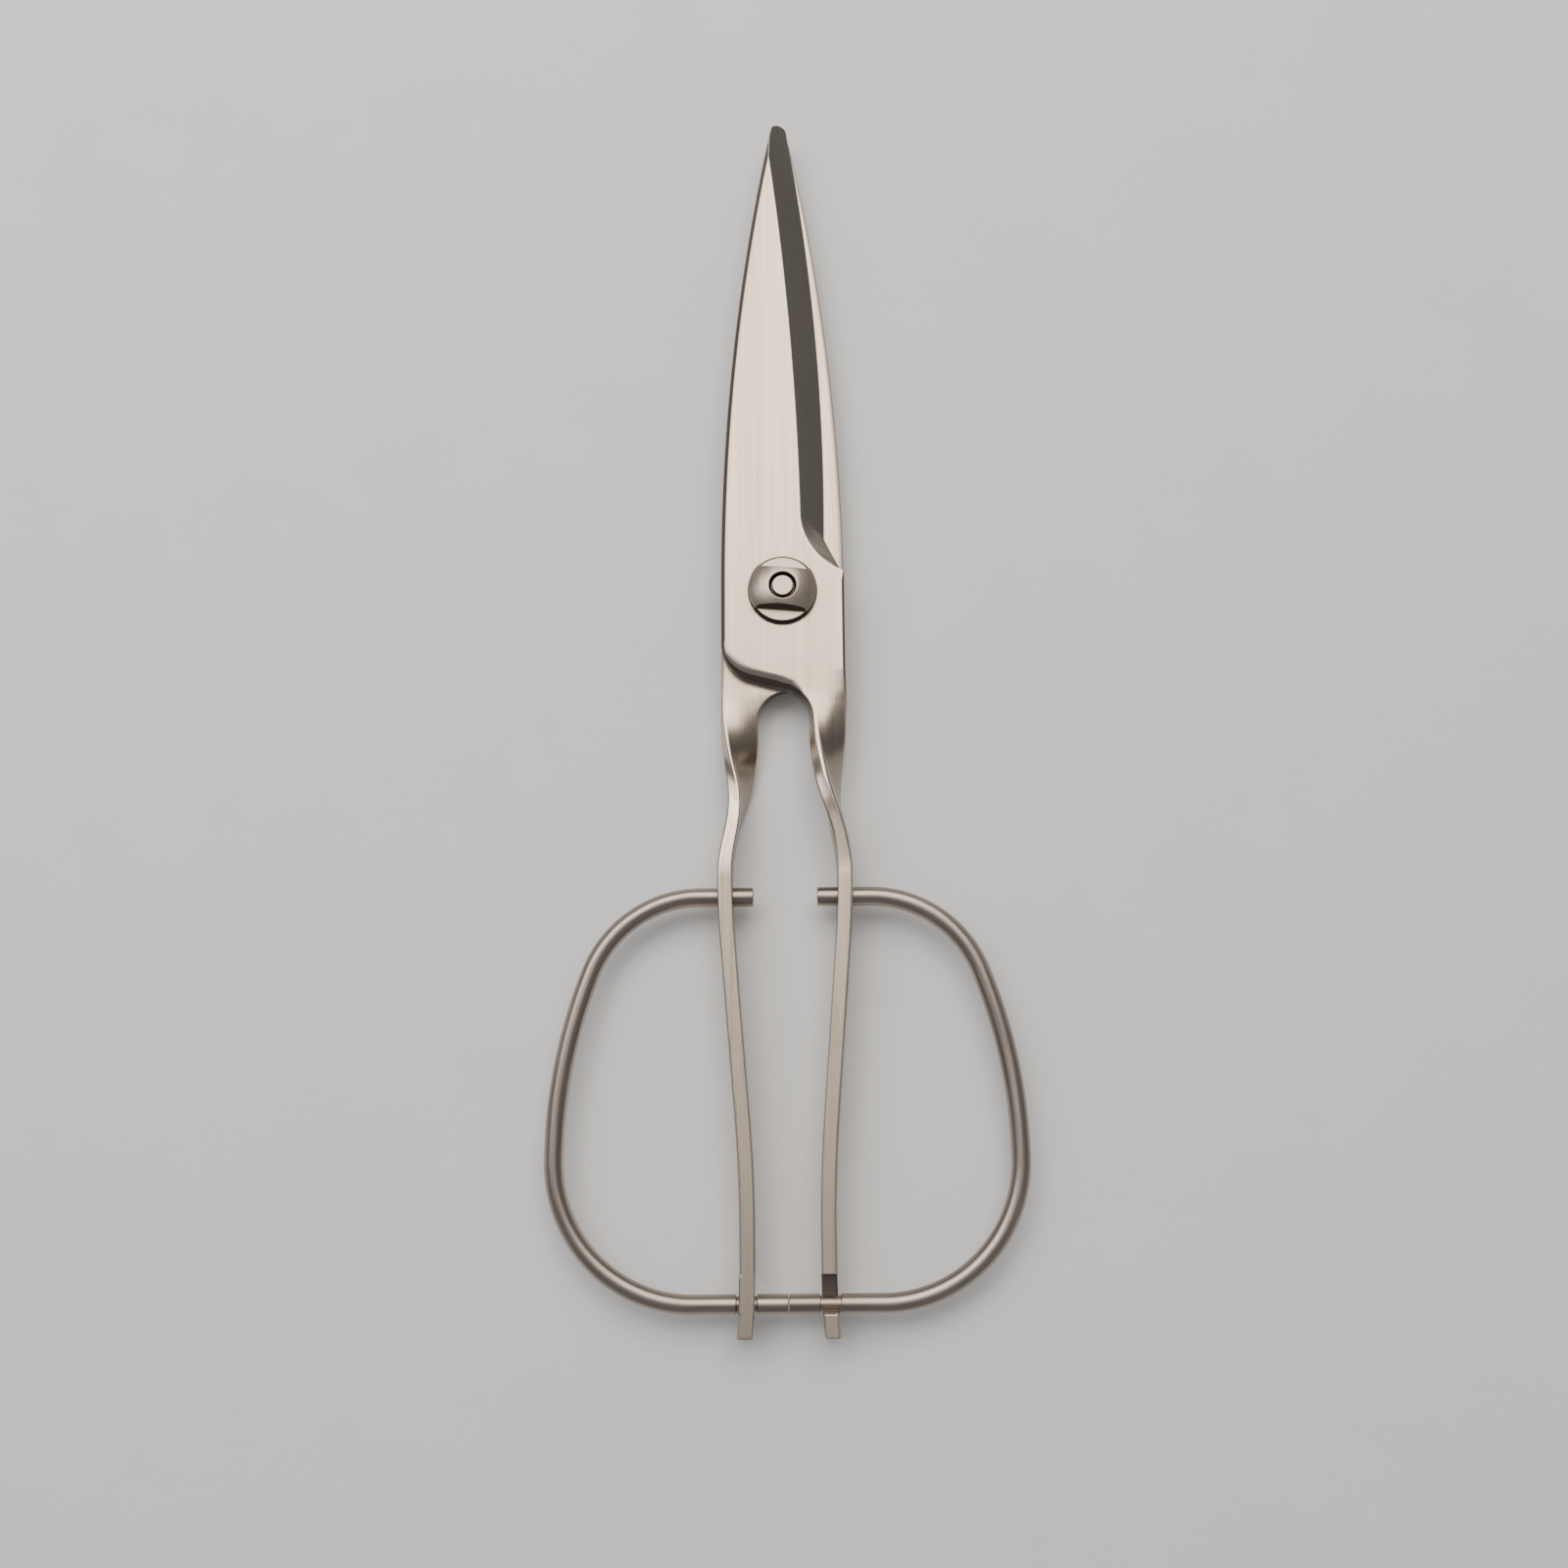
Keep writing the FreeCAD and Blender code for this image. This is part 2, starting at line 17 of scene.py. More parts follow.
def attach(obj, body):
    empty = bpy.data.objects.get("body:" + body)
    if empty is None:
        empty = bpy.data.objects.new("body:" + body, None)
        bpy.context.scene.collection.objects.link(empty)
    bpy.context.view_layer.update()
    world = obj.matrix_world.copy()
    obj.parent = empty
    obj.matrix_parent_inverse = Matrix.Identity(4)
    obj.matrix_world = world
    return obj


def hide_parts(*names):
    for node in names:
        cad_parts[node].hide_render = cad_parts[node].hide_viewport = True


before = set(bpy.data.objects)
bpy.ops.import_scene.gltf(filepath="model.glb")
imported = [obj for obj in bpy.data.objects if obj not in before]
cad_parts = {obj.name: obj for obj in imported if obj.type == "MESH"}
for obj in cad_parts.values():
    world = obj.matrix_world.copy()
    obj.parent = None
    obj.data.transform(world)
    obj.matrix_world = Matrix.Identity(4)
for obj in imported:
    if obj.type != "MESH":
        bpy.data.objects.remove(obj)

MM = 0.001
TINY = 1e-9
LOG = logging.getLogger("floral_snips")
Array = np.ndarray
Colour = tuple[float, float, float, float]


class Half(Enum):
    """Which of the two identical forgings a piece belongs to."""

    FRONT = 1
    BACK = -1


# ---------------------------------------------------------------- curves and surfaces

def smooth_step(share: Array) -> Array:
    """3 t^2 - 2 t^3 with t held between 0 and 1, so both ends are level.

    Args:
        share: where each point stands between the two ends.

    Returns:
        The eased share.
    """
    held = np.clip(share, 0.0, 1.0)
    return held * held * (3.0 - 2.0 * held)


def ramp(values: Array, start: float, end: float) -> Array:
    """The eased share of the way from start to end.

    Args:
        values: places along the ramp.
        start: where the ramp is 0.
        end: where the ramp is 1.

    Returns:
        The smooth step of each value.
    """
    return smooth_step((values - start) / (end - start))


def arc(centre: tuple[float, float], radius: float, first: float, last: float, count: int) -> Array:
    """Points of a circle: centre plus radius times (cos, sin) of evenly spaced angles.

    Args:
        centre: the circle's centre.
        radius: its radius.
        first: the first point's angle in degrees.
        last: the last point's angle in degrees.
        count: how many points.

    Returns:
        The points as count rows of (x, y).
    """
    angles = np.radians(np.linspace(first, last, count))
    return np.stack([centre[0] + radius * np.cos(angles), centre[1] + radius * np.sin(angles)], axis=1)


def line(start: tuple[float, float], end: tuple[float, float], count: int) -> Array:
    """Evenly spaced points from start to end.

    Args:
        start: the first point.
        end: the last point.
        count: how many points.

    Returns:
        The points as count rows of (x, y).
    """
    return np.linspace(start, end, count)


def bow(start: tuple[float, float], end: tuple[float, float], radius: float, shares: Array) -> Array:
    """A shallow arc: the chord plus 4 t (1 - t) times its rise, towards the left of the way along it.

    Args:
        start: its first point.
        end: its last point.
        radius: its radius, from which the rise is chord squared over 8 radius.
        shares: t of each wanted point.

    Returns:
        One row per share.
    """
    first, way = np.array(start), np.array(end) - np.array(start)
    chord = float(np.hypot(*way))
    side = np.array([-way[1], way[0]]) / chord
    t = shares[:, None]
    return first + way * t + side * (4.0 * t * (1.0 - t) * chord * chord / (8.0 * radius))


def rounded_section(corners: Array, cuts: Array, steps: int,
                    spans: tuple[int, ...]) -> tuple[Array, Array]:
    """Round every corner of every station's closed section.

    Each corner becomes the curve (1-t)^2 P + 2 t (1-t) C + t^2 Q, where P and Q lie one cut before
    and after the corner C on its two sides. Each side gets evenly spaced points, and one close to
    each of its ends, so that a flat side is shaded flat.

    Args:
        corners: stations x corners x 3.
        cuts: stations x corners, how far each rounding reaches along its two sides.
        steps: points on each rounded corner.
        spans: points along the side that follows each corner.

    Returns:
        The points, stations x columns x 3, and each column's place: its corner's number, plus a
        half on the side that follows the corner.
    """
    sides = np.roll(corners, -1, axis=1) - corners
    lengths = np.maximum(np.linalg.norm(sides, axis=2), TINY)
    ahead = sides / lengths[..., None]
    behind = -np.roll(ahead, 1, axis=1)
    longest_cut = 0.45  # share of a side that one rounding may take
    near_end = 0.04
    start = corners + behind * np.minimum(cuts, longest_cut * np.roll(lengths, 1, axis=1))[..., None]
    end = corners + ahead * np.minimum(cuts, longest_cut * lengths)[..., None]
    columns: list[Array] = []
    places: list[float] = []
    for corner in range(corners.shape[1]):
        for t in np.linspace(0.0, 1.0, steps):
            pulled = 2 * t * (1 - t) * corners[:, corner]
            columns.append((1 - t) ** 2 * start[:, corner] + pulled + t ** 2 * end[:, corner])
            places.append(float(corner))
        side = start[:, (corner + 1) % corners.shape[1]] - end[:, corner]
        for t in (near_end, *np.linspace(0.0, 1.0, spans[corner] + 2)[1:-1], 1.0 - near_end):
            columns.append(end[:, corner] + side * t)
            places.append(corner + 0.5)
    return np.stack(columns, axis=1), np.array(places)


def signed_volume(points: Array, faces: Array) -> float:
    """Sum of a . (b x c) / 6 over the two triangles of each face, positive where faces look out.

    Args:
        points: the vertices.
        faces: rows of four vertex numbers; a triangle repeats its last one.

    Returns:
        The enclosed volume with its sign.
    """
    a, b, c, d = (points[faces[:, corner]] for corner in range(4))
    halves = np.einsum("ij,ij->", a, np.cross(b, c)) + np.einsum("ij,ij->", a, np.cross(c, d))
    return float(halves) / 6.0


def skin(name: str, grid: Array, values: dict[str, Array], ring: bool = False) -> bpy.types.Object:
    """A closed mesh over a grid whose columns wrap round, in metres, with faces outwards.

    The first and last row are joined to each other where ring is set, and else each is closed by a
    fan to its middle.

    Args:
        name: the object's name.
        grid: rows x columns x 3, in millimetres.
        values: numbers or vectors per grid point, stored as attributes of the mesh.
        ring: whether the rows wrap round too.

    Returns:
        The new object, linked to the scene.
    """
    rows, columns = grid.shape[:2]
    index = np.arange(rows * columns).reshape(rows, columns)
    points = grid.reshape(-1, 3)
    kept = {key: value.reshape(rows * columns, -1) for key, value in values.items()}
    upper = np.roll(index, -1, axis=0) if ring else index[1:]
    lower = index if ring else index[:-1]
    quads = np.stack([lower, np.roll(lower, -1, axis=1), np.roll(upper, -1, axis=1), upper], axis=-1)
    faces = quads.reshape(-1, 4)
    fans = np.zeros((0, 4), dtype=faces.dtype)
    if not ring:
        poles = np.stack([grid[0].mean(axis=0), grid[-1].mean(axis=0)])
        for number, row in enumerate((index[0][::-1], index[-1])):
            pole = np.full(columns, len(points) + number)
            fans = np.vstack([fans, np.stack([row, np.roll(row, -1), pole, pole], axis=-1)])
        points = np.vstack([points, poles])
        ends = {key: np.stack([value[index[0]].mean(axis=0), value[index[-1]].mean(axis=0)])
                for key, value in kept.items()}
        kept = {key: np.vstack([value, ends[key]]) for key, value in kept.items()}
    if signed_volume(points, np.vstack([faces, fans])) < 0:
        faces, fans = faces[:, ::-1], fans[:, [1, 0, 2, 3]]
    mesh = bpy.data.meshes.new(name)
    mesh.from_pydata((points * MM).tolist(), [], faces.tolist() + fans[:, :3].tolist())
    for key, value in kept.items():
        vector = value.shape[1] == 3
        layer = mesh.attributes.new(key, "FLOAT_VECTOR" if vector else "FLOAT", "POINT")
        layer.data.foreach_set("vector" if vector else "value", value.astype(np.float32).ravel())
    mesh.polygons.foreach_set("use_smooth", np.ones(len(mesh.polygons), dtype=bool))
    mesh.update()
    made = bpy.data.objects.new(name, mesh)
    bpy.context.scene.collection.objects.link(made)
    return made


def rounded_profile(corners: list[tuple[float, float, float]], steps: int, spans: int,
                    closed: bool) -> Array:
    """A turned part's outline in (radius, height) with each corner rounded.

    A corner C becomes (1-t)^2 P + 2 t (1-t) C + t^2 Q between the points one cut before and after
    it, and each straight run gets evenly spaced points.

    Args:
        corners: radius, height and cut of each corner.
        steps: points on each corner.
        spans: points on each run.
        closed: whether the last corner runs back to the first.

    Returns:
        One row of (radius, height) per point.
    """
    table = np.array(corners)
    places = np.column_stack([table[:, :2], np.zeros(len(table))])[None]
    cuts = table[None, :, 2]
    runs = [spans] * len(table)
    if not closed:
        runs[-1] = 0
    points, numbers = rounded_section(places, cuts, steps, tuple(runs))
    if not closed:
        before_last_run = len(table) - 0.75
        points = points[:, numbers < before_last_run]
    return points[0, :, :2]


# ---------------------------------------------------------------- shader graphs

class Value:
    """A number output in a node tree, with arithmetic that adds Math nodes."""

    def __init__(self, graph: "Graph", socket: bpy.types.NodeSocket) -> None:
        """Wrap one output socket of a graph."""
        self.graph = graph
        self.socket = socket

    def _math(self, operation: str, first: Any, second: Any) -> "Value":
        """Add one Math node.

        Args:
            operation: its operation.
            first: the first input.
            second: the second input.

        Returns:
            The node's output.
        """
        return self.graph.node("ShaderNodeMath", {"operation": operation}, {0: first, 1: second})

    def __add__(self, other: Any) -> "Value":
        """self + other."""
        return self._math("ADD", self, other)

    def __radd__(self, other: Any) -> "Value":
        """other + self."""
        return self._math("ADD", other, self)

    def __sub__(self, other: Any) -> "Value":
        """self - other."""
        return self._math("SUBTRACT", self, other)

    def __rsub__(self, other: Any) -> "Value":
        """other - self."""
        return self._math("SUBTRACT", other, self)

    def __mul__(self, other: Any) -> "Value":
        """self * other."""
        return self._math("MULTIPLY", self, other)

    def __rmul__(self, other: Any) -> "Value":
        """other * self."""
        return self._math("MULTIPLY", other, self)


class Graph:
    """A material's node tree, with one method that adds any node."""

    def __init__(self, name: str) -> None:
        """Make an empty material.

        Args:
            name: the material's name.
        """
        self.material = bpy.data.materials.new(name)
        self.material.use_nodes = True
        self.material.node_tree.nodes.clear()

    def node(self, kind: str, settings: dict[str, Any] | None = None,
             inputs: dict[Any, Any] | None = None, output: Any = 0) -> Value:
        """Add a node.

        Args:
            kind: the node's type.
            settings: properties, such as a Math node's operation, set first.
            inputs: socket name or number to a value or a Value.
            output: the socket to return, by name or number.

        Returns:
            The chosen output.
        """
        made = self.material.node_tree.nodes.new(kind)
        for key, value in (settings or {}).items():
            setattr(made, key, value)
        for key, value in (inputs or {}).items():
            if isinstance(value, Value):
                self.material.node_tree.links.new(value.socket, made.inputs[key])
            else:
                made.inputs[key].default_value = value
        return Value(self, made.outputs[output])

    def attribute(self, name: str) -> Value:
        """A float attribute of the piece."""
        return self.node("ShaderNodeAttribute", {"attribute_name": name}, output="Fac")

    def colour_mix(self, factor: Any, first: Any, second: Any) -> Value:
        """Mix two colours.

        Args:
            factor: 0 gives the first, 1 the second.
            first: a colour or a link.
            second: a colour or a link.

        Returns:
            The mixed colour.
        """
        return self.node("ShaderNodeMix", {"data_type": "RGBA"},
                         {0: factor, 6: first, 7: second}, output=2)

    def streaks(self, stretch: tuple[float, float, float], detail: float,
                source: str = "Object") -> Value:
        """Noise stretched along one way, such as the lines that a belt leaves.

        Args:
            stretch: how often the noise repeats along x, y and z, per metre.
            detail: how many finer layers it has.
            source: the coordinate it reads.

        Returns:
            The noise, about 0.5 on average.
        """
        if source == "Object":
            place = self.node("ShaderNodeTexCoord", output="Object")
        else:
            place = self.node("ShaderNodeAttribute", {"attribute_name": source}, output="Vector")
        scaled = self.node("ShaderNodeMapping", {"vector_type": "POINT"},
                           {"Vector": place, "Scale": stretch})
        return self.node("ShaderNodeTexNoise", {"noise_dimensions": "3D"},
                         {"Vector": scaled, "Scale": 1.0, "Detail": detail, "Roughness": 0.6}, output=0)

    def finish(self, colour: Any, roughness: Any, height: Any, depth: float,
               metallic: float = 1.0) -> bpy.types.Material:
        """Close the tree with a Principled shader and a bump.

        Args:
            colour: base colour.
            roughness: roughness.
            height: bump height, 0 to 1.
            depth: what a height of 1 stands for, in metres.
            metallic: metallic share.

        Returns:
            The material.
        """
        normal = self.node("ShaderNodeBump", {}, {"Strength": 1.0, "Distance": depth, "Height": height})
        shader = self.node("ShaderNodeBsdfPrincipled", {}, {
            "Base Color": colour, "Roughness": roughness, "Metallic": metallic, "Normal": normal})
        end = self.material.node_tree.nodes.new("ShaderNodeOutputMaterial")
        self.material.node_tree.links.new(shader.socket, end.inputs["Surface"])
        return self.material


@dataclass(frozen=True)
class ForgedSteel:
    """Satin stainless: lines along the blade, a smoother bevel from the grinding darkened as a painted
    dark reflection, painted shade on the flanks, the notch and the bar's sides, and edges rubbed
    bright.
    """

    name: str = "satin_forged_steel"
    face: Colour = (0.63, 0.53, 0.43, 1.0)
    shade: Colour = (0.38, 0.315, 0.26, 1.0)
    # the bevel's own grind tone, darkened further as a painted dark reflection; the notch floor's
    # painted shade uses this colour too
    ground_and_painted_shade: Colour = (0.30, 0.272, 0.232, 1.0)
    # near-black painted shade: a painted dark reflection on the chamfer and walls, and painted shadow
    # in the notch and on the bar's sides
    painted_shade: Colour = (0.13, 0.108, 0.092, 1.0)
    rubbed: Colour = (0.62, 0.56, 0.52, 1.0)
    line_pitch: tuple[float, float, float] = (3200.0, 22.0, 3200.0)
    broad_pitch: tuple[float, float, float] = (420.0, 9.0, 420.0)
    cloud_pitch: tuple[float, float, float] = (38.0, 30.0, 38.0)
    polish: float = 0.26
    line_depth: float = 0.000012

    def build(self) -> bpy.types.Material:
        """Mix the face, the bevel with its painted dark reflection, the painted shade and the rubbed
        edges by the mesh's own masks.

        Returns:
            The material.
        """
        graph = Graph(self.name)
        ground_and_painted_shade, edge = graph.attribute("ground_and_painted_shade"), graph.attribute("edge")
        turned, painted_shade = graph.attribute("turned"), graph.attribute("painted_shade")
        lines = graph.streaks(self.line_pitch, 3.0)
        broad = graph.streaks(self.broad_pitch, 2.0)
        cloud = graph.streaks(self.cloud_pitch, 3.0)
        face = graph.colour_mix(broad * 0.9 + cloud * 0.5 + lines * 1.5 - 0.8, self.shade, self.face)
        # the bevel gets its grind tone with a painted dark reflection, and the notch floor gets painted
        # shade
        tone = graph.colour_mix(ground_and_painted_shade, face, self.ground_and_painted_shade)
        # painted shade darkens the chamfer, the walls, the notch and the bar's broad sides
        tone = graph.colour_mix(painted_shade, tone, self.painted_shade)
        tone = graph.colour_mix(edge * 0.6, tone, self.rubbed)
        smooth = 1.0 - painted_shade * 0.9
        roughness = self.polish + lines * smooth * 0.10 + (cloud - 0.5) * 0.12 - ground_and_painted_shade * 0.03
        roughness = roughness - edge * 0.04 - turned * 0.06
        height = (lines * (1.0 - ground_and_painted_shade * 0.85) * (1.0 - turned * 0.6) + broad * 0.5) * smooth
        return graph.finish(tone, roughness + painted_shade * 0.12, height, self.line_depth)


@dataclass(frozen=True)
class DrawnWire:
    """Drawn stainless wire: fine lines that run with the wire, and a slightly dull patina."""

    name: str = "drawn_wire_steel"
    bright: Colour = (0.50, 0.435, 0.38, 1.0)
    dull: Colour = (0.20, 0.172, 0.15, 1.0)
    line_pitch: tuple[float, float, float] = (14.0, 14.0, 30.0)
    patina_pitch: tuple[float, float, float] = (1.6, 1.6, 55.0)
    polish: float = 0.22
    line_depth: float = 0.000009

    def build(self) -> bpy.types.Material:
        """Streak colour, roughness and bump along the wire's own coordinates.

        Returns:
            The material.
        """
        graph = Graph(self.name)
        lines = graph.streaks(self.line_pitch, 3.0, "wire_place")
        patina = graph.streaks(self.patina_pitch, 4.0, "wire_place")
        tone = graph.colour_mix(patina * 1.4 - 0.2, self.dull, self.bright)
        roughness = self.polish + lines * 0.10 + patina * 0.10
        return graph.finish(tone, roughness, lines + patina * 0.4, self.line_depth)


@dataclass(frozen=True)
class TurnedSteel:
    """Lathe-turned stainless with faint rings round the axis."""

    name: str = "turned_pivot_steel"
    bright: Colour = (0.60, 0.515, 0.43, 1.0)
    dull: Colour = (0.36, 0.30, 0.25, 1.0)
    # near-black painted shadow for the screw's groove, the nut's hole, the flats' walls and the
    # washer's rim
    painted_shadow: Colour = (0.06, 0.05, 0.045, 1.0)
    ring_pitch: tuple[float, float, float] = (5200.0, 1.2, 1.2)
    cloud_pitch: tuple[float, float, float] = (300.0, 300.0, 300.0)
    polish: float = 0.27
    ring_depth: float = 0.000008

    def build(self) -> bpy.types.Material:
        """Rings come from noise that changes fast with the distance from the axis.

        Returns:
            The material.
        """
        graph = Graph(self.name)
        rings = graph.streaks(self.ring_pitch, 3.0, "turned_place")
        cloud = graph.streaks(self.cloud_pitch, 3.0)
        tone = graph.colour_mix(rings * 0.7 + cloud * 0.5 - 0.1, self.dull, self.bright)
        # painted shadow where the mesh's mask asks for it
        tone = graph.colour_mix(graph.attribute("painted_shadow"), tone, self.painted_shadow)
        roughness = self.polish + rings * 0.12 + (cloud - 0.5) * 0.12
        return graph.finish(tone, roughness, rings, self.ring_depth)


# ---------------------------------------------------------------- the forged halves

# where a column lies in a section: each corner in turn, and the side that follows it
(INNER_LEFT, INNER_FACE, INNER_RIGHT, RIGHT_WALL, WALL_TOP, BEVEL,
 FACE_RIGHT, FACE, FACE_LEFT, CHAMFER, LEFT_TOP, LEFT_WALL) = np.arange(12) / 2


@dataclass(frozen=True)
class Shoulder:
    """The neck's rolled shoulder: below its slanting line the outer side turns a little further."""

    x: float = 5.3
    y: float = -14.6
    slope: float = 0.27
    length: float = 5.0
    turn: float = 0.13
    inner_x: float = 4.8


@dataclass
class ForgedHalf:
    """One forging, drawn from its inner face (z = 0) outwards, with its spine on the left.

    Sizes are in millimetres and angles in degrees. A pair named ..._zone gives the two distances
    between which something sets in, above the pivot for the tip and below it for all else.
    """

    thickness: float = 3.0
    half_width: float = 10.3
    spine_radius: float = 400.0
    spine_straight_top: float = 1.0
    tip_shoulder: float = 85.3
    tip_radius: float = 1.35
    tip_end_angle: float = 10.0
    tip_angles: tuple[float, ...] = (6, 14, 24, 34, 44, 54, 63, 71, 77.5)
    tip_last_angle: float = 80.0
    tip_blunting: float = 0.72
    tip_narrowing: float = 0.35
    tip_zone: tuple[float, float] = (80.0, 85.5)
    edge_radius: float = 402.0
    edge_height: float = 0.04
    choil: tuple[float, float] = (7.1, 9.8)
    choil_foot: float = 3.4
    grind_top: float = 88.0
    grind_face: tuple[float, float, float] = (-3.0, 3.1, 13.0)
    grind_face_radius: float = 590.0
    grind_low: tuple[float, float, float] = (1.15, 7.35, 9.9)
    plunge_centre: tuple[float, float] = (14.463, 14.089)
    plunge_turns: tuple[float, float] = (185.47, 253.4)
    low_foot: tuple[float, float] = (11.5, 2.2)
    blade_stations: int = 150
    plunge_stations: int = 60
    heel: float = 16.5
    heel_radius: float = 6.4
    heel_corner: float = 8.8
    heel_slant: float = 15.53
    web_radius: float = 5.2
    neck_centre: float = 7.4
    neck_width: float = 6.0
    neck_length: float = 30.5
    twist_share: float = 0.8
    bend_from: float = 0.475
    neck_spread: float = 0.1
    neck_zone: tuple[float, float] = (17.0, 26.0)
    shoulder: Shoulder = Shoulder()
    bar_start_x: float = 9.8
    bar_slopes: tuple[tuple[float, float], ...] = (
        (47.0, 0.0), (59.0, 0.08), (86.0, 0.08), (104.0, 0.0), (110.0, 0.0), (119.8, -0.0916))
    bar_thinning: float = 0.167
    thinning_zone: tuple[float, float] = (17.0, 30.0)
    bar_zone: tuple[float, float] = (40.0, 50.0)
    bar_break: float = 0.35
    bar_swell: tuple[tuple[float, float], ...] = ((30.0, 0.0), (47.6, 0.42), (76.0, 0.0))
    bar_end: float = 119.8
    tail_sizes: tuple[float, float] = (0.97, 0.9)
    notch: tuple[float, float] = (110.1, 116.1)
    notch_wall: float = 0.18
    notch_floor: float = 1.3
    gap: float = 0.05
    middle: float = 4.825
    spine_chamfer: float = 0.7
    chamfer_deepening: float = 0.25
    heel_widths: tuple[tuple[float, float], ...] = (
        (0.0, 0.6), (2.1, 0.6), (4.4, 1.1), (7.3, 1.5), (13.0, 1.65), (15.0, 1.4), (16.1, 0.95),
        (17.6, 0.55), (21.0, 0.45))
    heel_softness: tuple[tuple[float, float], ...] = ((0.0, 0.0), (4.0, 1.0), (14.0, 1.0), (17.5, 0.0))
    side_break: float = 0.4
    choil_break: float = 0.3
    choil_zone: tuple[float, float] = (-3.6, -1.5)
    corner_points: int = 5
    side_points: tuple[int, ...] = (12, 3, 5, 14, 2, 5)
    twisted_zones: tuple[tuple[float, float], ...] = ((15.0, 19.0), (40.0, 47.0))
    # where the painted shade on the chamfer and walls fades out, and where the painted shade on the
    # bar's broad sides sets in
    flank_end_zone: tuple[float, float] = (17.0, 24.0)
    bar_side_zone: tuple[float, float] = (19.0, 26.0)
    # how strong the painted shade is on the face's left border and on the bar's broad sides
    chamfer_border_shade: float = 0.45
    bar_side_shade: float = 0.62

    def spine_x(self, y: Array) -> Array:
        """The spine: straight, then the arc x = R - sqrt(R^2 - rise^2) from the left side."""
        rise = np.maximum(y - self.spine_straight_top, 0.0)
        return self.spine_radius - np.sqrt(self.spine_radius ** 2 - rise ** 2) - self.half_width

    def bar_x(self, distance: Array) -> Array:
        """The bar's centre line: its start less the running sum of its slope, down to distance.

        Args:
            distance: how far below the pivot, per point.

        Returns:
            The centre line's x at each distance.
        """
        knots, slopes = np.array(self.bar_slopes).T
        fine = np.linspace(knots[0], knots[-1], 800)
        slope = np.interp(fine, knots, slopes)
        steps = 0.5 * (slope[1:] + slope[:-1]) * np.diff(fine)
        return np.interp(distance, fine, self.bar_start_x - np.concatenate([[0.0], np.cumsum(steps)]))

    def blade_rows(self) -> tuple[Array, Array, Array, Array]:
        """Plan points of the tip, the blade and the plunge of the grind.

        The bevel is ruled: straight lines join points of equal share on the line where it meets the
        face and on the line where it would meet the inner face. The edge's wall cuts it off.

        Returns:
            The left outline, the right outline, the bevel's line on the face, and the bevel's height
            at the right outline.
        """
        lean = math.asin((self.tip_shoulder - self.spine_straight_top) / self.spine_radius)
        tip_left = float(self.spine_x(np.array(self.tip_shoulder)))
        centre = np.array([tip_left + self.tip_radius * math.cos(lean),
                           self.tip_shoulder - self.tip_radius * math.sin(lean)])
        turn = np.radians(np.array(self.tip_angles))[:, None] / math.radians(self.tip_last_angle)
        left_turn = math.pi / 2 + turn * (math.pi / 2 - lean)
        end_turn = math.radians(self.tip_end_angle)
        right_turn = math.pi / 2 - turn * (math.pi / 2 - end_turn)
        tip_left_row = centre + self.tip_radius * np.hstack([np.cos(left_turn), np.sin(left_turn)])
        blunt = self.tip_blunting
        blunted = np.hstack([np.cos(right_turn) ** blunt, np.sin(right_turn) ** blunt])
        tip_right_row = centre + self.tip_radius * blunted
        edge_start = (float(centre[0] + self.tip_radius * math.cos(end_turn) ** blunt),
                      float(centre[1] + self.tip_radius * math.sin(end_turn) ** blunt))
        face_x, face_end_x, face_end_y = self.grind_face
        low_x, low_end_x, low_end_y = self.grind_low
        below_tip = 0.3
        grind_fall = self.grind_top - face_end_y
        first = (self.grind_top - self.tip_shoulder + below_tip) / grind_fall
        shares = np.linspace(first, 1.0, self.blade_stations)
        tip_shares = np.clip((self.grind_top - tip_left_row[:, 1]) / grind_fall, 0, 1)
        every = np.concatenate([tip_shares, shares])
        face_line = bow((face_x, self.grind_top), (face_end_x, face_end_y),
                        self.grind_face_radius, every)
        low_line = bow((low_x, self.grind_top), (low_end_x, low_end_y), self.edge_radius, every)
        edge = bow(edge_start, self.choil, self.edge_radius, np.linspace(0, 1, 400))[::-1]
        near_edge = 0.05
        blade_y = low_line[:, 1] + (face_line[:, 1] - low_line[:, 1]) * near_edge
        right = np.stack([np.interp(blade_y, edge[:, 1], edge[:, 0]), blade_y], axis=1)
        right[: len(tip_shares)] = tip_right_row
        left = np.stack([self.spine_x(face_line[:, 1]), face_line[:, 1]], axis=1)
        left[: len(tip_shares)] = tip_left_row
        share = (right[:, 0] - face_line[:, 0]) / (low_line[:, 0] - face_line[:, 0])
        # the plunge: the face line turns out on an arc and the low line runs straight to its foot
        turned = np.linspace(0, 1, self.plunge_stations)[1:]
        first_turn, last_turn = np.radians(self.plunge_turns)
        angle = first_turn + (last_turn - first_turn) * turned
        pivot = np.array(self.plunge_centre)
        radius = math.hypot(face_end_x - pivot[0], face_end_y - pivot[1])
        plunge = pivot + radius * np.stack([np.cos(angle), np.sin(angle)], axis=1)
        low_end = np.array([low_end_x, low_end_y])
        low = low_end + np.outer(turned, np.array(self.low_foot) - low_end)
        wall = np.array([self.half_width, self.choil_foot]) - np.array(self.choil)
        across = np.array([-wall[1], wall[0]])
        along = low - plunge
        reach = ((np.array(self.choil) - plunge) @ across) / (along @ across)
        least_reach, side_margin = 0.03, 0.1
        inside = (reach > least_reach) & (plunge[:, 0] < self.half_width - side_margin)
        inside = np.logical_and.accumulate(inside)
        plunge, along, reach = plunge[inside], along[inside], reach[inside]
        plunge_right = plunge + along * reach[:, None]
        plunge_y = np.linspace(face_end_y, plunge_right[-1, 1], len(plunge) + 1)[1:]
        plunge_left = np.stack([self.spine_x(plunge_y), plunge_y], axis=1)
        return (np.vstack([left, plunge_left]), np.vstack([right, plunge_right]),
                np.vstack([face_line, plunge]), self.thickness * (1.0 - np.concatenate([share, reach])))

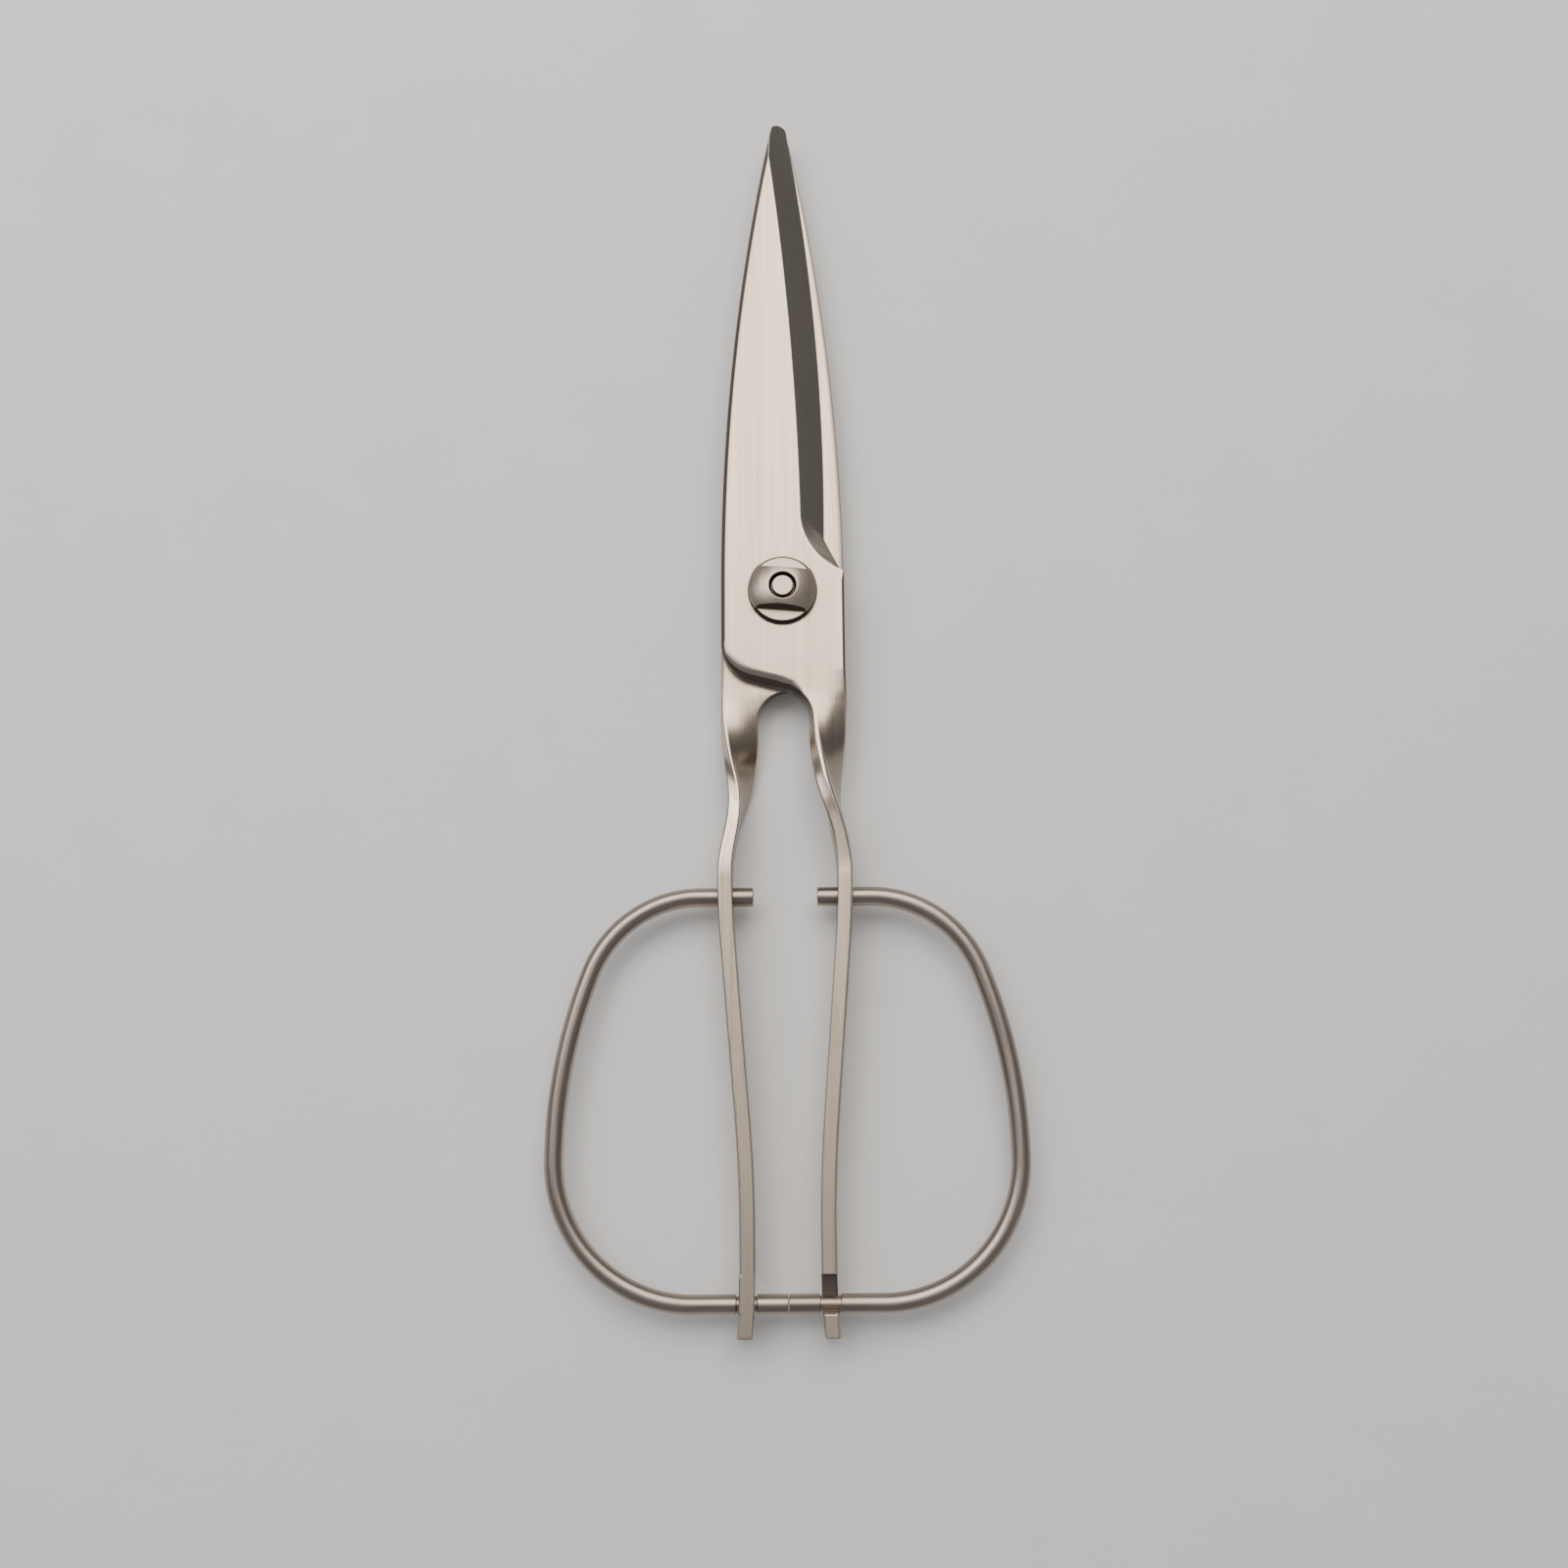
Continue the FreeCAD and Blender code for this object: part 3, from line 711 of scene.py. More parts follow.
    def lower_rows(self, foot_y: float) -> tuple[Array, Array]:
        """Plan points of both outlines from the foot of the plunge to the bar's end.

        Args:
            foot_y: where the straight sides below the plunge begin.

        Returns:
            The left and the right outline.
        """
        width, heel, radius, web = self.half_width, self.heel, self.heel_radius, self.web_radius
        neck_left = self.neck_centre - self.neck_width / 2
        web_x, web_y = neck_left - web, -heel - web
        centre = (radius - width, -self.heel_corner)
        slant = self.heel_slant
        foot = arc(centre, radius, 270.0 - slant, 270.0 - slant, 1)[0]
        joint = arc((web_x, web_y), web, 90.0 - slant, 90.0 - slant, 1)[0]
        a, b = self.notch
        wall = self.notch_wall
        bar_top = self.heel + self.neck_length
        bar_y = -np.concatenate([
            np.linspace(-web_y, bar_top, 110)[1:], np.linspace(bar_top, a - wall, 120)[1:],
            [a, a + wall], np.linspace(a + wall, b - wall, 16)[1:],
            [b, b + wall], np.linspace(b + wall, self.bar_end - 0.35, 8)[1:],
            self.bar_end - np.array([0.2, 0.08, 0.0])])
        swell = np.interp(-bar_y, *np.array(self.bar_swell).T)
        left = np.vstack([
            line((-width, foot_y), (-width, centre[1]), 41),
            arc(centre, radius, 180.0, 270.0 - slant, 44)[1:],
            line(tuple(foot), tuple(joint), 30)[1:],
            arc((web_x, web_y), web, 90.0 - slant, 0.0, 46)[1:],
            np.stack([neck_left - swell, bar_y], axis=1)])
        # stations stand closer together where the shoulder's line meets the right side
        shoulder_from, shoulder_to = -13.0, -15.5
        right = np.vstack([
            line((width, foot_y), (width, centre[1]), 41),
            line((width, centre[1]), (width, shoulder_from), 44)[1:],
            line((width, shoulder_from), (width, shoulder_to), 30)[1:],
            line((width, shoulder_to), (width, web_y), 46)[1:],
            np.stack([width + swell, bar_y], axis=1)])
        return left, right

    def corners(self) -> tuple[Array, Array, Array]:
        """Six corners of every station's section, before the neck is twisted.

        They run inner left, inner right, top of the right wall, right and left border of the outer
        face, and top of the left wall.

        Returns:
            Stations x 6 x 3 corners, stations x 6 cuts, and the bevel's mask per station.
        """
        t = self.thickness
        left, right, face, high = self.blade_rows()
        tall = len(left)
        plunge_gap = 0.06
        more_left, more_right = self.lower_rows(min(right[-1, 1], face[-1, 1]) - plunge_gap)
        left, right = np.vstack([left, more_left]), np.vstack([right, more_right])
        count = len(left)
        on_blade = np.arange(count) < tall
        y = left[:, 1]
        # how wide and deep the left border's bevel is
        run = np.gradient(left, axis=0)
        run /= np.maximum(np.linalg.norm(run, axis=1), TINY)[:, None]
        inward = np.stack([-run[:, 1], run[:, 0]], axis=1)
        steps = np.linalg.norm(np.diff(left, axis=0), axis=1)
        along = np.concatenate([[0.0], np.cumsum(steps)])
        along -= np.interp(self.heel_corner, -y[tall:], along[tall:])
        heel_part = np.interp(along, *np.array(self.heel_softness).T)
        neck_part = ramp(-y, *self.neck_zone)
        bar_part = ramp(-y, *self.bar_zone)
        heel_wide = np.interp(along, *np.array(self.heel_widths).T)
        wide = np.where(along < 0, self.spine_chamfer, heel_wide)
        wide = wide * (1 - self.tip_narrowing * ramp(y, *self.tip_zone))
        wide = wide * (1 - bar_part) + self.bar_break * bar_part
        deepened = self.spine_chamfer + self.chamfer_deepening * (wide - self.spine_chamfer)
        deep = np.minimum(wide, deepened)
        face_left = left + inward * wide[:, None]
        # the right border: the grind's line on the blade, a small break elsewhere
        brk = self.side_break * (1 - bar_part) + self.bar_break * bar_part
        brk = brk * (self.choil_break + (1.0 - self.choil_break) * ramp(-right[:, 1], *self.choil_zone))
        face_right = np.stack([right[:, 0] - brk, right[:, 1]], axis=1)
        face_right_z = np.full(count, t)
        wall_top = t - brk
        face_right[:tall] = face
        wall_top[:tall] = np.maximum(high, self.edge_height)
        left_z = t - deep
        face_left_z = np.full(count, t)
        # near the tip the grind meets the spine's chamfer, then the spine itself
        most_room = 0.05
        room = np.minimum(most_room, 0.2 * (right[:tall, 0] - left[:tall, 0]))
        slope = (t - wall_top[:tall]) / np.maximum(right[:tall, 0] - face[:, 0], 1e-6)
        c, xl = wide[:tall], left[:tall, 0]
        meet = (slope * face[:, 0] + c + xl) / (1.0 + slope)
        crowded = face[:, 0] < xl + c
        met = np.maximum(meet, xl + 2 * room)
        new_x = np.where(crowded, met, face[:, 0])
        face_right[:tall, 0] = new_x
        face_right_z[:tall] = np.where(crowded, t - slope * (new_x - face[:, 0]), t)
        edge_x = np.minimum(xl + c, new_x - room)
        face_left[:tall, 0] = np.where(crowded, edge_x, face_left[:tall, 0])
        on_grind = t - slope * (edge_x - face[:, 0])
        face_left_z[:tall] = np.where(crowded, np.minimum(on_grind, t - c + (edge_x - xl)), t)
        left_z[:tall] = np.minimum(left_z[:tall], t - slope * (xl - face[:, 0]) - 0.01)
        zero = np.zeros(count)
        corners = np.stack([
            np.column_stack([left, zero]), np.column_stack([right, zero]),
            np.column_stack([right, wall_top]), np.column_stack([face_right, face_right_z]),
            np.column_stack([face_left, face_left_z]), np.column_stack([left, left_z])], axis=1)
        # how far each corner is rounded: crisp on the blade, softer down the neck and the bar
        crisp, grind_line = 0.03, 0.07
        inner = 0.1 + 0.35 * neck_part - 0.15 * bar_part
        soft = 0.12 + 0.18 * neck_part
        cuts = np.stack([
            inner, np.where(on_blade, crisp, inner), np.where(on_blade, crisp, soft),
            np.where(on_blade, grind_line, soft), soft + 0.7 * heel_part,
            soft + 0.15 * (1 - neck_part)], axis=1)
        return corners, cuts, on_blade.astype(float)

    def twist(self, points: Array) -> Array:
        """Turn the neck and carry it to the bar's line.

        Below the heel a point keeps its y. Its offset from the neck's centre turns by up to a
        quarter turn, and the centre moves outwards and to the middle plane.

        Args:
            points: any array of points, in its last axis x, y and z.

        Returns:
            The moved points.
        """
        x, y, z = points[..., 0], points[..., 1], points[..., 2]
        share = np.clip((-self.heel - y) / self.neck_length, 0.0, 1.0)
        roll = self.shoulder
        rolled = np.clip((roll.y + roll.slope * (x - roll.x) - y) / roll.length, 0.0, 1.0)
        rolled = rolled * ramp(x, roll.inner_x, self.half_width) * (1.0 - share)
        rolled = rolled * ramp(z, 0.0, self.thickness)
        angle = -math.pi / 2 * (smooth_step(share / self.twist_share) + roll.turn * rolled)
        bend = ramp(share, self.bend_from, 1.0)
        half = self.thickness / 2
        centre_x = self.neck_centre + (self.bar_x(-y) - self.neck_centre) * bend
        centre_z = half * (1 - bend) - self.gap / 2 * bend
        across = x - self.neck_centre
        across = across + self.neck_spread * share * (across > 0)
        up = (z - half) * (1 - self.bar_thinning * ramp(-y, *self.thinning_zone))
        return np.stack([centre_x + across * np.cos(angle) - up * np.sin(angle), y,
                         centre_z + across * np.sin(angle) + up * np.cos(angle)], axis=-1)

    def build(self, name: str, half: Half) -> bpy.types.Object:
        """The skin of one half in its place.

        Args:
            name: the object's name.
            half: the front one, or the back one, turned half a turn about the long axis.

        Returns:
            The new object.
        """
        corners, cuts, on_blade = self.corners()
        grid, places = rounded_section(corners, cuts, self.corner_points, self.side_points)
        y = grid[..., 1]
        # the notch for the lower leg: the bar's upper side comes down to the floor
        right = self.half_width
        half_bar = self.neck_width / 2
        depth = (half_bar - self.notch_floor) / (right - self.neck_centre + half_bar)
        margin = 0.01
        inside = (y < -self.notch[0] - margin) & (y > -self.notch[1] + margin)
        grid[..., 0] = right - (right - grid[..., 0]) * np.where(inside, depth, 1.0)
        for row, size in zip((-2, -1), self.tail_sizes):
            middle = grid[row].mean(axis=0)
            grid[row, :, 0] = middle[0] + (grid[row, :, 0] - middle[0]) * size
            grid[row, :, 2] = middle[2] + (grid[row, :, 2] - middle[2]) * size
        masks = self.masks(y, places, on_blade, inside)
        moved = self.twist(grid)
        moved[..., 2] = half.value * (moved[..., 2] + self.gap / 2) + self.middle
        moved[..., 0] *= half.value
        return skin(name, moved, masks)

    def masks(self, y: Array, places: Array, on_blade: Array, in_notch: Array) -> dict[str, Array]:
        """Where the bevel lies (with painted shade on the notch floor added), where an edge is rubbed,
        where the steel is twisted and where painted shade darkens it, each 0 to 1.

        Args:
            y: height of every grid point.
            places: each column's place in the section.
            on_blade: 1 for each row of the blade.
            in_notch: whether a grid point lies in the notch.

        Returns:
            One number per grid point under each attribute's name.
        """
        seat_places = (FACE_RIGHT, FACE, FACE_LEFT, CHAMFER, LEFT_TOP, LEFT_WALL, INNER_LEFT)
        # painted shade on the notch floor under the leg, added to the bevel's mask
        notch_floor_shade = in_notch & np.isin(places, seat_places)[None, :]
        ground_and_painted_shade = np.isin(places, (WALL_TOP, BEVEL))[None, :] * on_blade[:, None] + notch_floor_shade
        sets_in, ends = self.twisted_zones
        turned = ramp(-y, *sets_in) * (1.0 - ramp(-y, *ends))
        # painted shade: the chamfer, the side walls and their corners are darkened as a painted dark
        # reflection, and the face's left border partly
        outer_places = (INNER_RIGHT, RIGHT_WALL, WALL_TOP, BEVEL)
        flank_places = (CHAMFER, LEFT_TOP, LEFT_WALL, INNER_LEFT) + outer_places
        flank = np.isin(places, flank_places) + self.chamfer_border_shade * (places == FACE_LEFT)
        # painted shadow over the notch's floor and inner walls, under its lip
        notch = in_notch & ~np.isin(places, outer_places)[None, :]
        above_neck = 1.0 - ramp(-y, *self.flank_end_zone)
        painted_shade = np.maximum(flank * (1.0 - ground_and_painted_shade), 0.0) * above_neck * (1 - notch) + notch
        borders = (INNER_LEFT, INNER_RIGHT, FACE_RIGHT, FACE_LEFT)
        # painted shade on the bar's broad sides, which turn away from the light below the heel
        bar_side = np.isin(places, (INNER_FACE, FACE)) + 0.5 * np.isin(places, borders)
        below_heel = ramp(-y, *self.bar_side_zone)
        painted_shade = np.maximum(painted_shade, self.bar_side_shade * bar_side[None, :] * below_heel)
        edge = (places % 1.0 == 0.0)[None, :] * (1.0 - painted_shade)
        return {"ground_and_painted_shade": ground_and_painted_shade.astype(float), "edge": edge, "turned": turned, "painted_shade": painted_shade}


# ---------------------------------------------------------------- the finger loops

@dataclass
class FingerLoop:
    """A bent wire loop with a turned-down neck where its lower leg sits in the bar's notch."""

    radius: float = 1.55
    upper_leg: float = 50.95
    lower_leg: float = 114.8
    stub_end: float = 5.2
    stop_x: float = 0.06
    reach: float = 37.05
    upper_corner: float = 19.0
    side_turn: float = 21.0
    lower_corner: float = 22.1
    neck_radius: float = 1.25
    neck_x: float = 6.55
    neck_half: float = 1.65
    neck_wall: float = 0.06
    level: float = 4.825
    end_rounding: tuple[tuple[float, float], ...] = (
        (0.0, 0.12), (0.03, 0.06), (0.08, 0.02), (0.16, 0.005), (0.3, 0.0))
    rings: int = 420
    around: int = 48

    def centre_line(self) -> Array:
        """The wire's centre line: stub, upper corner, long side, lower corner, stop end.

        Straight runs and circles' arcs that meet in the same direction.

        Returns:
            One row of (x, y) per point.
        """
        turn = math.radians(self.side_turn)
        side_top_y = self.upper_leg + self.upper_corner * (1 - math.sin(turn))
        side_bottom_y = self.lower_leg - self.lower_corner
        side_radius = (side_bottom_y - side_top_y) / math.sin(turn)
        side_top_x = self.reach - side_radius * (1 - math.cos(turn))
        corner_x = side_top_x - self.upper_corner * math.cos(turn)
        corner = (corner_x, -self.upper_leg - self.upper_corner)
        side = (self.reach - side_radius, -side_bottom_y)
        low = (self.reach - self.lower_corner, -side_bottom_y)
        return np.vstack([
            line((self.stub_end, -self.upper_leg), (corner_x, -self.upper_leg), 60),
            arc(corner, self.upper_corner, 90.0, self.side_turn, 90)[1:],
            arc(side, side_radius, self.side_turn, 0.0, 70)[1:],
            arc(low, self.lower_corner, 0.0, -90.0, 110)[1:],
            line((low[0], -self.lower_leg), (self.stop_x, -self.lower_leg), 240)[1:]])

    def build(self, name: str, half: Half) -> bpy.types.Object:
        """Carry a circle along the centre line, smaller at the neck and rounded at both ends.

        Args:
            name: the object's name.
            half: the side it hangs on; the back half's loop is the mirror image.

        Returns:
            The new object.
        """
        raw = self.centre_line()
        steps = np.linalg.norm(np.diff(raw, axis=0), axis=1)
        length = float(steps.sum())
        at = np.concatenate([[0.0], np.cumsum(steps)])
        neck_at = length - (self.neck_x - self.stop_x)
        first, last = neck_at - self.neck_half, neck_at + self.neck_half
        ends, taken_off = np.array(self.end_rounding).T
        wall = self.neck_wall
        wanted = np.unique(np.concatenate([
            ends, length - ends, np.linspace(ends[-1], length - ends[-1], self.rings),
            [first - wall, first, first + 2 * wall, last - 2 * wall, last, last + wall]]))
        path = np.stack([np.interp(wanted, at, raw[:, axis]) for axis in range(2)], axis=1)
        run = np.gradient(path, wanted, axis=0)
        run /= np.linalg.norm(run, axis=1)[:, None]
        side = np.stack([-run[:, 1], run[:, 0]], axis=1)
        from_end = np.minimum(wanted, length - wanted)
        round_off = np.interp(from_end, ends, taken_off)
        in_neck = (wanted > first - 1e-6) & (wanted < last + 1e-6)
        radius = np.where(in_neck, self.neck_radius, self.radius - round_off)
        around = np.linspace(0.0, 2 * math.pi, self.around + 1)[:-1]
        plan = path[:, None, :] + side[:, None, :] * (radius[:, None] * np.cos(around))[..., None]
        height = self.level + half.value * radius[:, None] * np.sin(around)
        grid = np.concatenate([plan, height[..., None]], axis=2)
        grid[..., 0] *= half.value
        place = np.stack(np.broadcast_arrays(np.cos(around)[None, :], np.sin(around)[None, :],
                                             wanted[:, None] * MM), axis=-1)
        return skin(name, grid, {"wire_place": place})


# ---------------------------------------------------------------- the pivot

@dataclass
class Pivot:
    """The screw, its washer and the domed nut with two milled flats, all about the pivot axis."""

    head_radius: float = 5.7
    head_bevel: float = 0.4
    head_height: float = 1.8
    shank_radius: float = 2.7
    washer_level: float = 7.88
    washer_radius: float = 5.8
    washer_height: float = 1.0
    washer_bevel: tuple[float, float] = (0.4, 0.45)
    thread_radius: float = 2.0
    end_radius: float = 1.68
    groove_floor: float = 10.35
    end_level: float = 11.15
    nut_radius: float = 5.65
    nut_rim: float = 0.8
    dome_radius: float = 9.0
    lip_radius: float = 2.3
    lip_round: float = 0.14
    sink: float = 0.5
    flat_lean: float = 0.58
    flats: float = 7.4
    flat_turn: float = 4.6
    # how dark the painted shadow on the flats' walls is
    flat_wall_shadow: float = 0.85
    around: int = 192

    def turn(self, name: str, profile: Array, limit: Array | None, ring: bool,
             painted_shadow: Array) -> bpy.types.Object:
        """Turn a profile about the pivot axis: x = r cos a, y = r sin a, z = height.

        Args:
            name: the object's name.
            profile: rows of (radius, height).
            limit: the largest radius at each angle, where flats are milled.
            ring: whether the profile is closed.
            painted_shadow: 1 for each row of the profile that is darkened as painted shadow.

        Returns:
            The new object.
        """
        angle = np.linspace(0.0, 2 * math.pi, self.around + 1)[:-1]
        radius = np.repeat(profile[:, :1], self.around, axis=1)
        height = np.repeat(profile[:, 1:], self.around, axis=1)
        # painted shadow per grid point, also on the flats' walls
        dark = np.repeat(painted_shadow.astype(float)[:, None], self.around, axis=1)
        if limit is not None:
            radius, height, walls = self.mill_flats(radius, height, limit)
            dark = np.maximum(dark, walls)
        grid = np.stack([radius * np.cos(angle), radius * np.sin(angle), height], axis=-1)
        # rings run round the axis and also down the upright walls
        ring_place = (radius + height * 0.7) * MM
        place = np.stack(np.broadcast_arrays(ring_place, np.cos(angle)[None, :],
                                             np.sin(angle)[None, :]), axis=-1)
        return skin(name, grid, {"turned_place": place, "painted_shadow": dark}, ring)

    def mill_flats(self, radius: Array, height: Array, limit: Array) -> tuple[Array, Array, Array]:
        """Pull what lies outside the lip in towards it, so that its rim stays within the limit.

        The new radius is lip + (limit - lip) times the old share of the way from lip to rim, and
        the dome's points drop to the height of the dome there.

        Args:
            radius: radius of every grid point.
            height: height of every grid point.
            limit: the largest radius at each angle.

        Returns:
            The new radii and heights, and how much painted shadow each point of the flats' walls gets.
        """
        low = self.washer_level + self.washer_height
        rim = low + self.nut_rim
        milled = (limit < self.nut_radius - 0.01)[None, :]
        share = (radius - self.lip_radius) / (radius.max() - self.lip_radius)
        lean = self.flat_lean * np.clip((height - low) / self.nut_rim, 0.0, 1.0)
        bound = np.minimum(limit[None, :] - lean * milled, self.nut_radius)
        cut = np.where(share > 0, self.lip_radius + (bound - self.lip_radius) * share, radius)
        dome = self.dome_height(cut)
        dropped = np.minimum(dome, height + (dome - self.dome_height(radius)))
        new_height = np.where((height > rim - 0.01) & (share > 0.02), dropped, height)
        on_wall = (radius > self.nut_radius - 0.12) & (height > low + 0.05) & (height < rim + 0.02)
        return cut, new_height, milled * on_wall * self.flat_wall_shadow

    def dome_height(self, radius: Array) -> Array:
        """Height of the nut's dome: a sphere's cap that meets the rim at the full radius.

        Args:
            radius: how far from the axis.

        Returns:
            The height at each radius.
        """
        rim = self.washer_level + self.washer_height + self.nut_rim
        drop = math.sqrt(self.dome_radius ** 2 - self.nut_radius ** 2)
        return rim - drop + np.sqrt(self.dome_radius ** 2 - radius ** 2)

    def build_screw(self) -> bpy.types.Object:
        """Low round head, shank and the thread's bevelled end.

        Returns:
            The new object.
        """
        head, bevel = self.head_radius, self.head_bevel
        profile = rounded_profile([
            (0.05, 0.0, 0.0), (head - 2 * bevel, 0.0, 0.25), (head, bevel, 0.2),
            (head, self.head_height, 0.05), (self.shank_radius, self.head_height, 0.02),
            (self.shank_radius, self.washer_level, 0.02),
            (self.thread_radius, self.washer_level, 0.02),
            (self.thread_radius, self.groove_floor, 0.05), (self.end_radius, self.groove_floor, 0.05),
            (self.end_radius, self.end_level, 0.1), (0.05, self.end_level, 0.0)], 5, 6, False)
        # painted shadow in the groove round the screw's end
        painted_shadow = (profile[:, 1] > self.groove_floor - 0.5) & (profile[:, 1] < self.end_level - 0.12)
        return self.turn("pivot_screw_turned", profile, None, False, painted_shadow)

    def build_washer(self) -> bpy.types.Object:
        """A flat ring with a bevelled upper rim.

        Returns:
            The new object.
        """
        low, high = self.washer_level, self.washer_level + self.washer_height
        inner, outer = self.thread_radius + 0.05, self.washer_radius
        bevel_width, bevel_depth = self.washer_bevel
        profile = rounded_profile([
            (inner, low, 0.08), (outer, low, 0.06), (outer, high - bevel_depth, 0.12),
            (outer - bevel_width, high, 0.1), (inner, high, 0.08)], 6, 5, True)
        # painted shadow on the washer's rim wall and bevel
        painted_shadow = (profile[:, 0] > outer - bevel_width + 0.02) & (profile[:, 1] < high - 0.02)
        return self.turn("pivot_washer_ring", profile, None, True, painted_shadow)

    def build_nut(self) -> bpy.types.Object:
        """A domed disc with a countersunk hole, cut by two flats.

        Returns:
            The new object.
        """
        low = self.washer_level + self.washer_height
        rim = low + self.nut_rim
        lip = float(self.dome_height(np.array(self.lip_radius)))
        side = rounded_profile([(self.thread_radius, low, 0.05), (self.nut_radius, low, 0.1),
                                (self.nut_radius, rim, 0.0)], 5, 6, False)
        near_rim = self.nut_radius - np.array([0.01, 0.05, 0.15])
        radii = np.concatenate([near_rim, np.linspace(5.3, self.lip_radius + 0.2, 16)])
        dome = np.stack([radii, self.dome_height(radii)], axis=1)
        lip_start = float(self.dome_height(np.array(self.lip_radius + 0.19)))
        end = rounded_profile([
            (self.lip_radius + self.lip_round, lip_start, 0.0), (self.lip_radius, lip + 0.02, 0.16),
            (self.thread_radius + 0.04, lip - self.sink, 0.05), (self.thread_radius, low + 0.2, 0.0)
        ], 6, 4, False)
        profile = np.vstack([side, dome, end])
        angle = np.linspace(0.0, 2 * math.pi, self.around + 1)[:-1]
        across = np.abs(np.sin(angle + math.radians(self.flat_turn)))
        limit = np.minimum(self.nut_radius, self.flats / 2 / np.maximum(across, 1e-3))
        # painted shadow inside the countersunk hole
        painted_shadow = (profile[:, 0] < self.lip_radius - 0.06) & (profile[:, 1] > low + 0.1)
        return self.turn("pivot_nut_domed", profile, limit, True, painted_shadow)


# ---------------------------------------------------------------- the studio

@dataclass(frozen=True)
class Lamp:
    """One soft rectangular light: where it hangs and its two sides in metres, watts and colour."""

    name: str
    place: tuple[float, float, float]
    sides: tuple[float, float]
    watts: float
    colour: tuple[float, float, float]


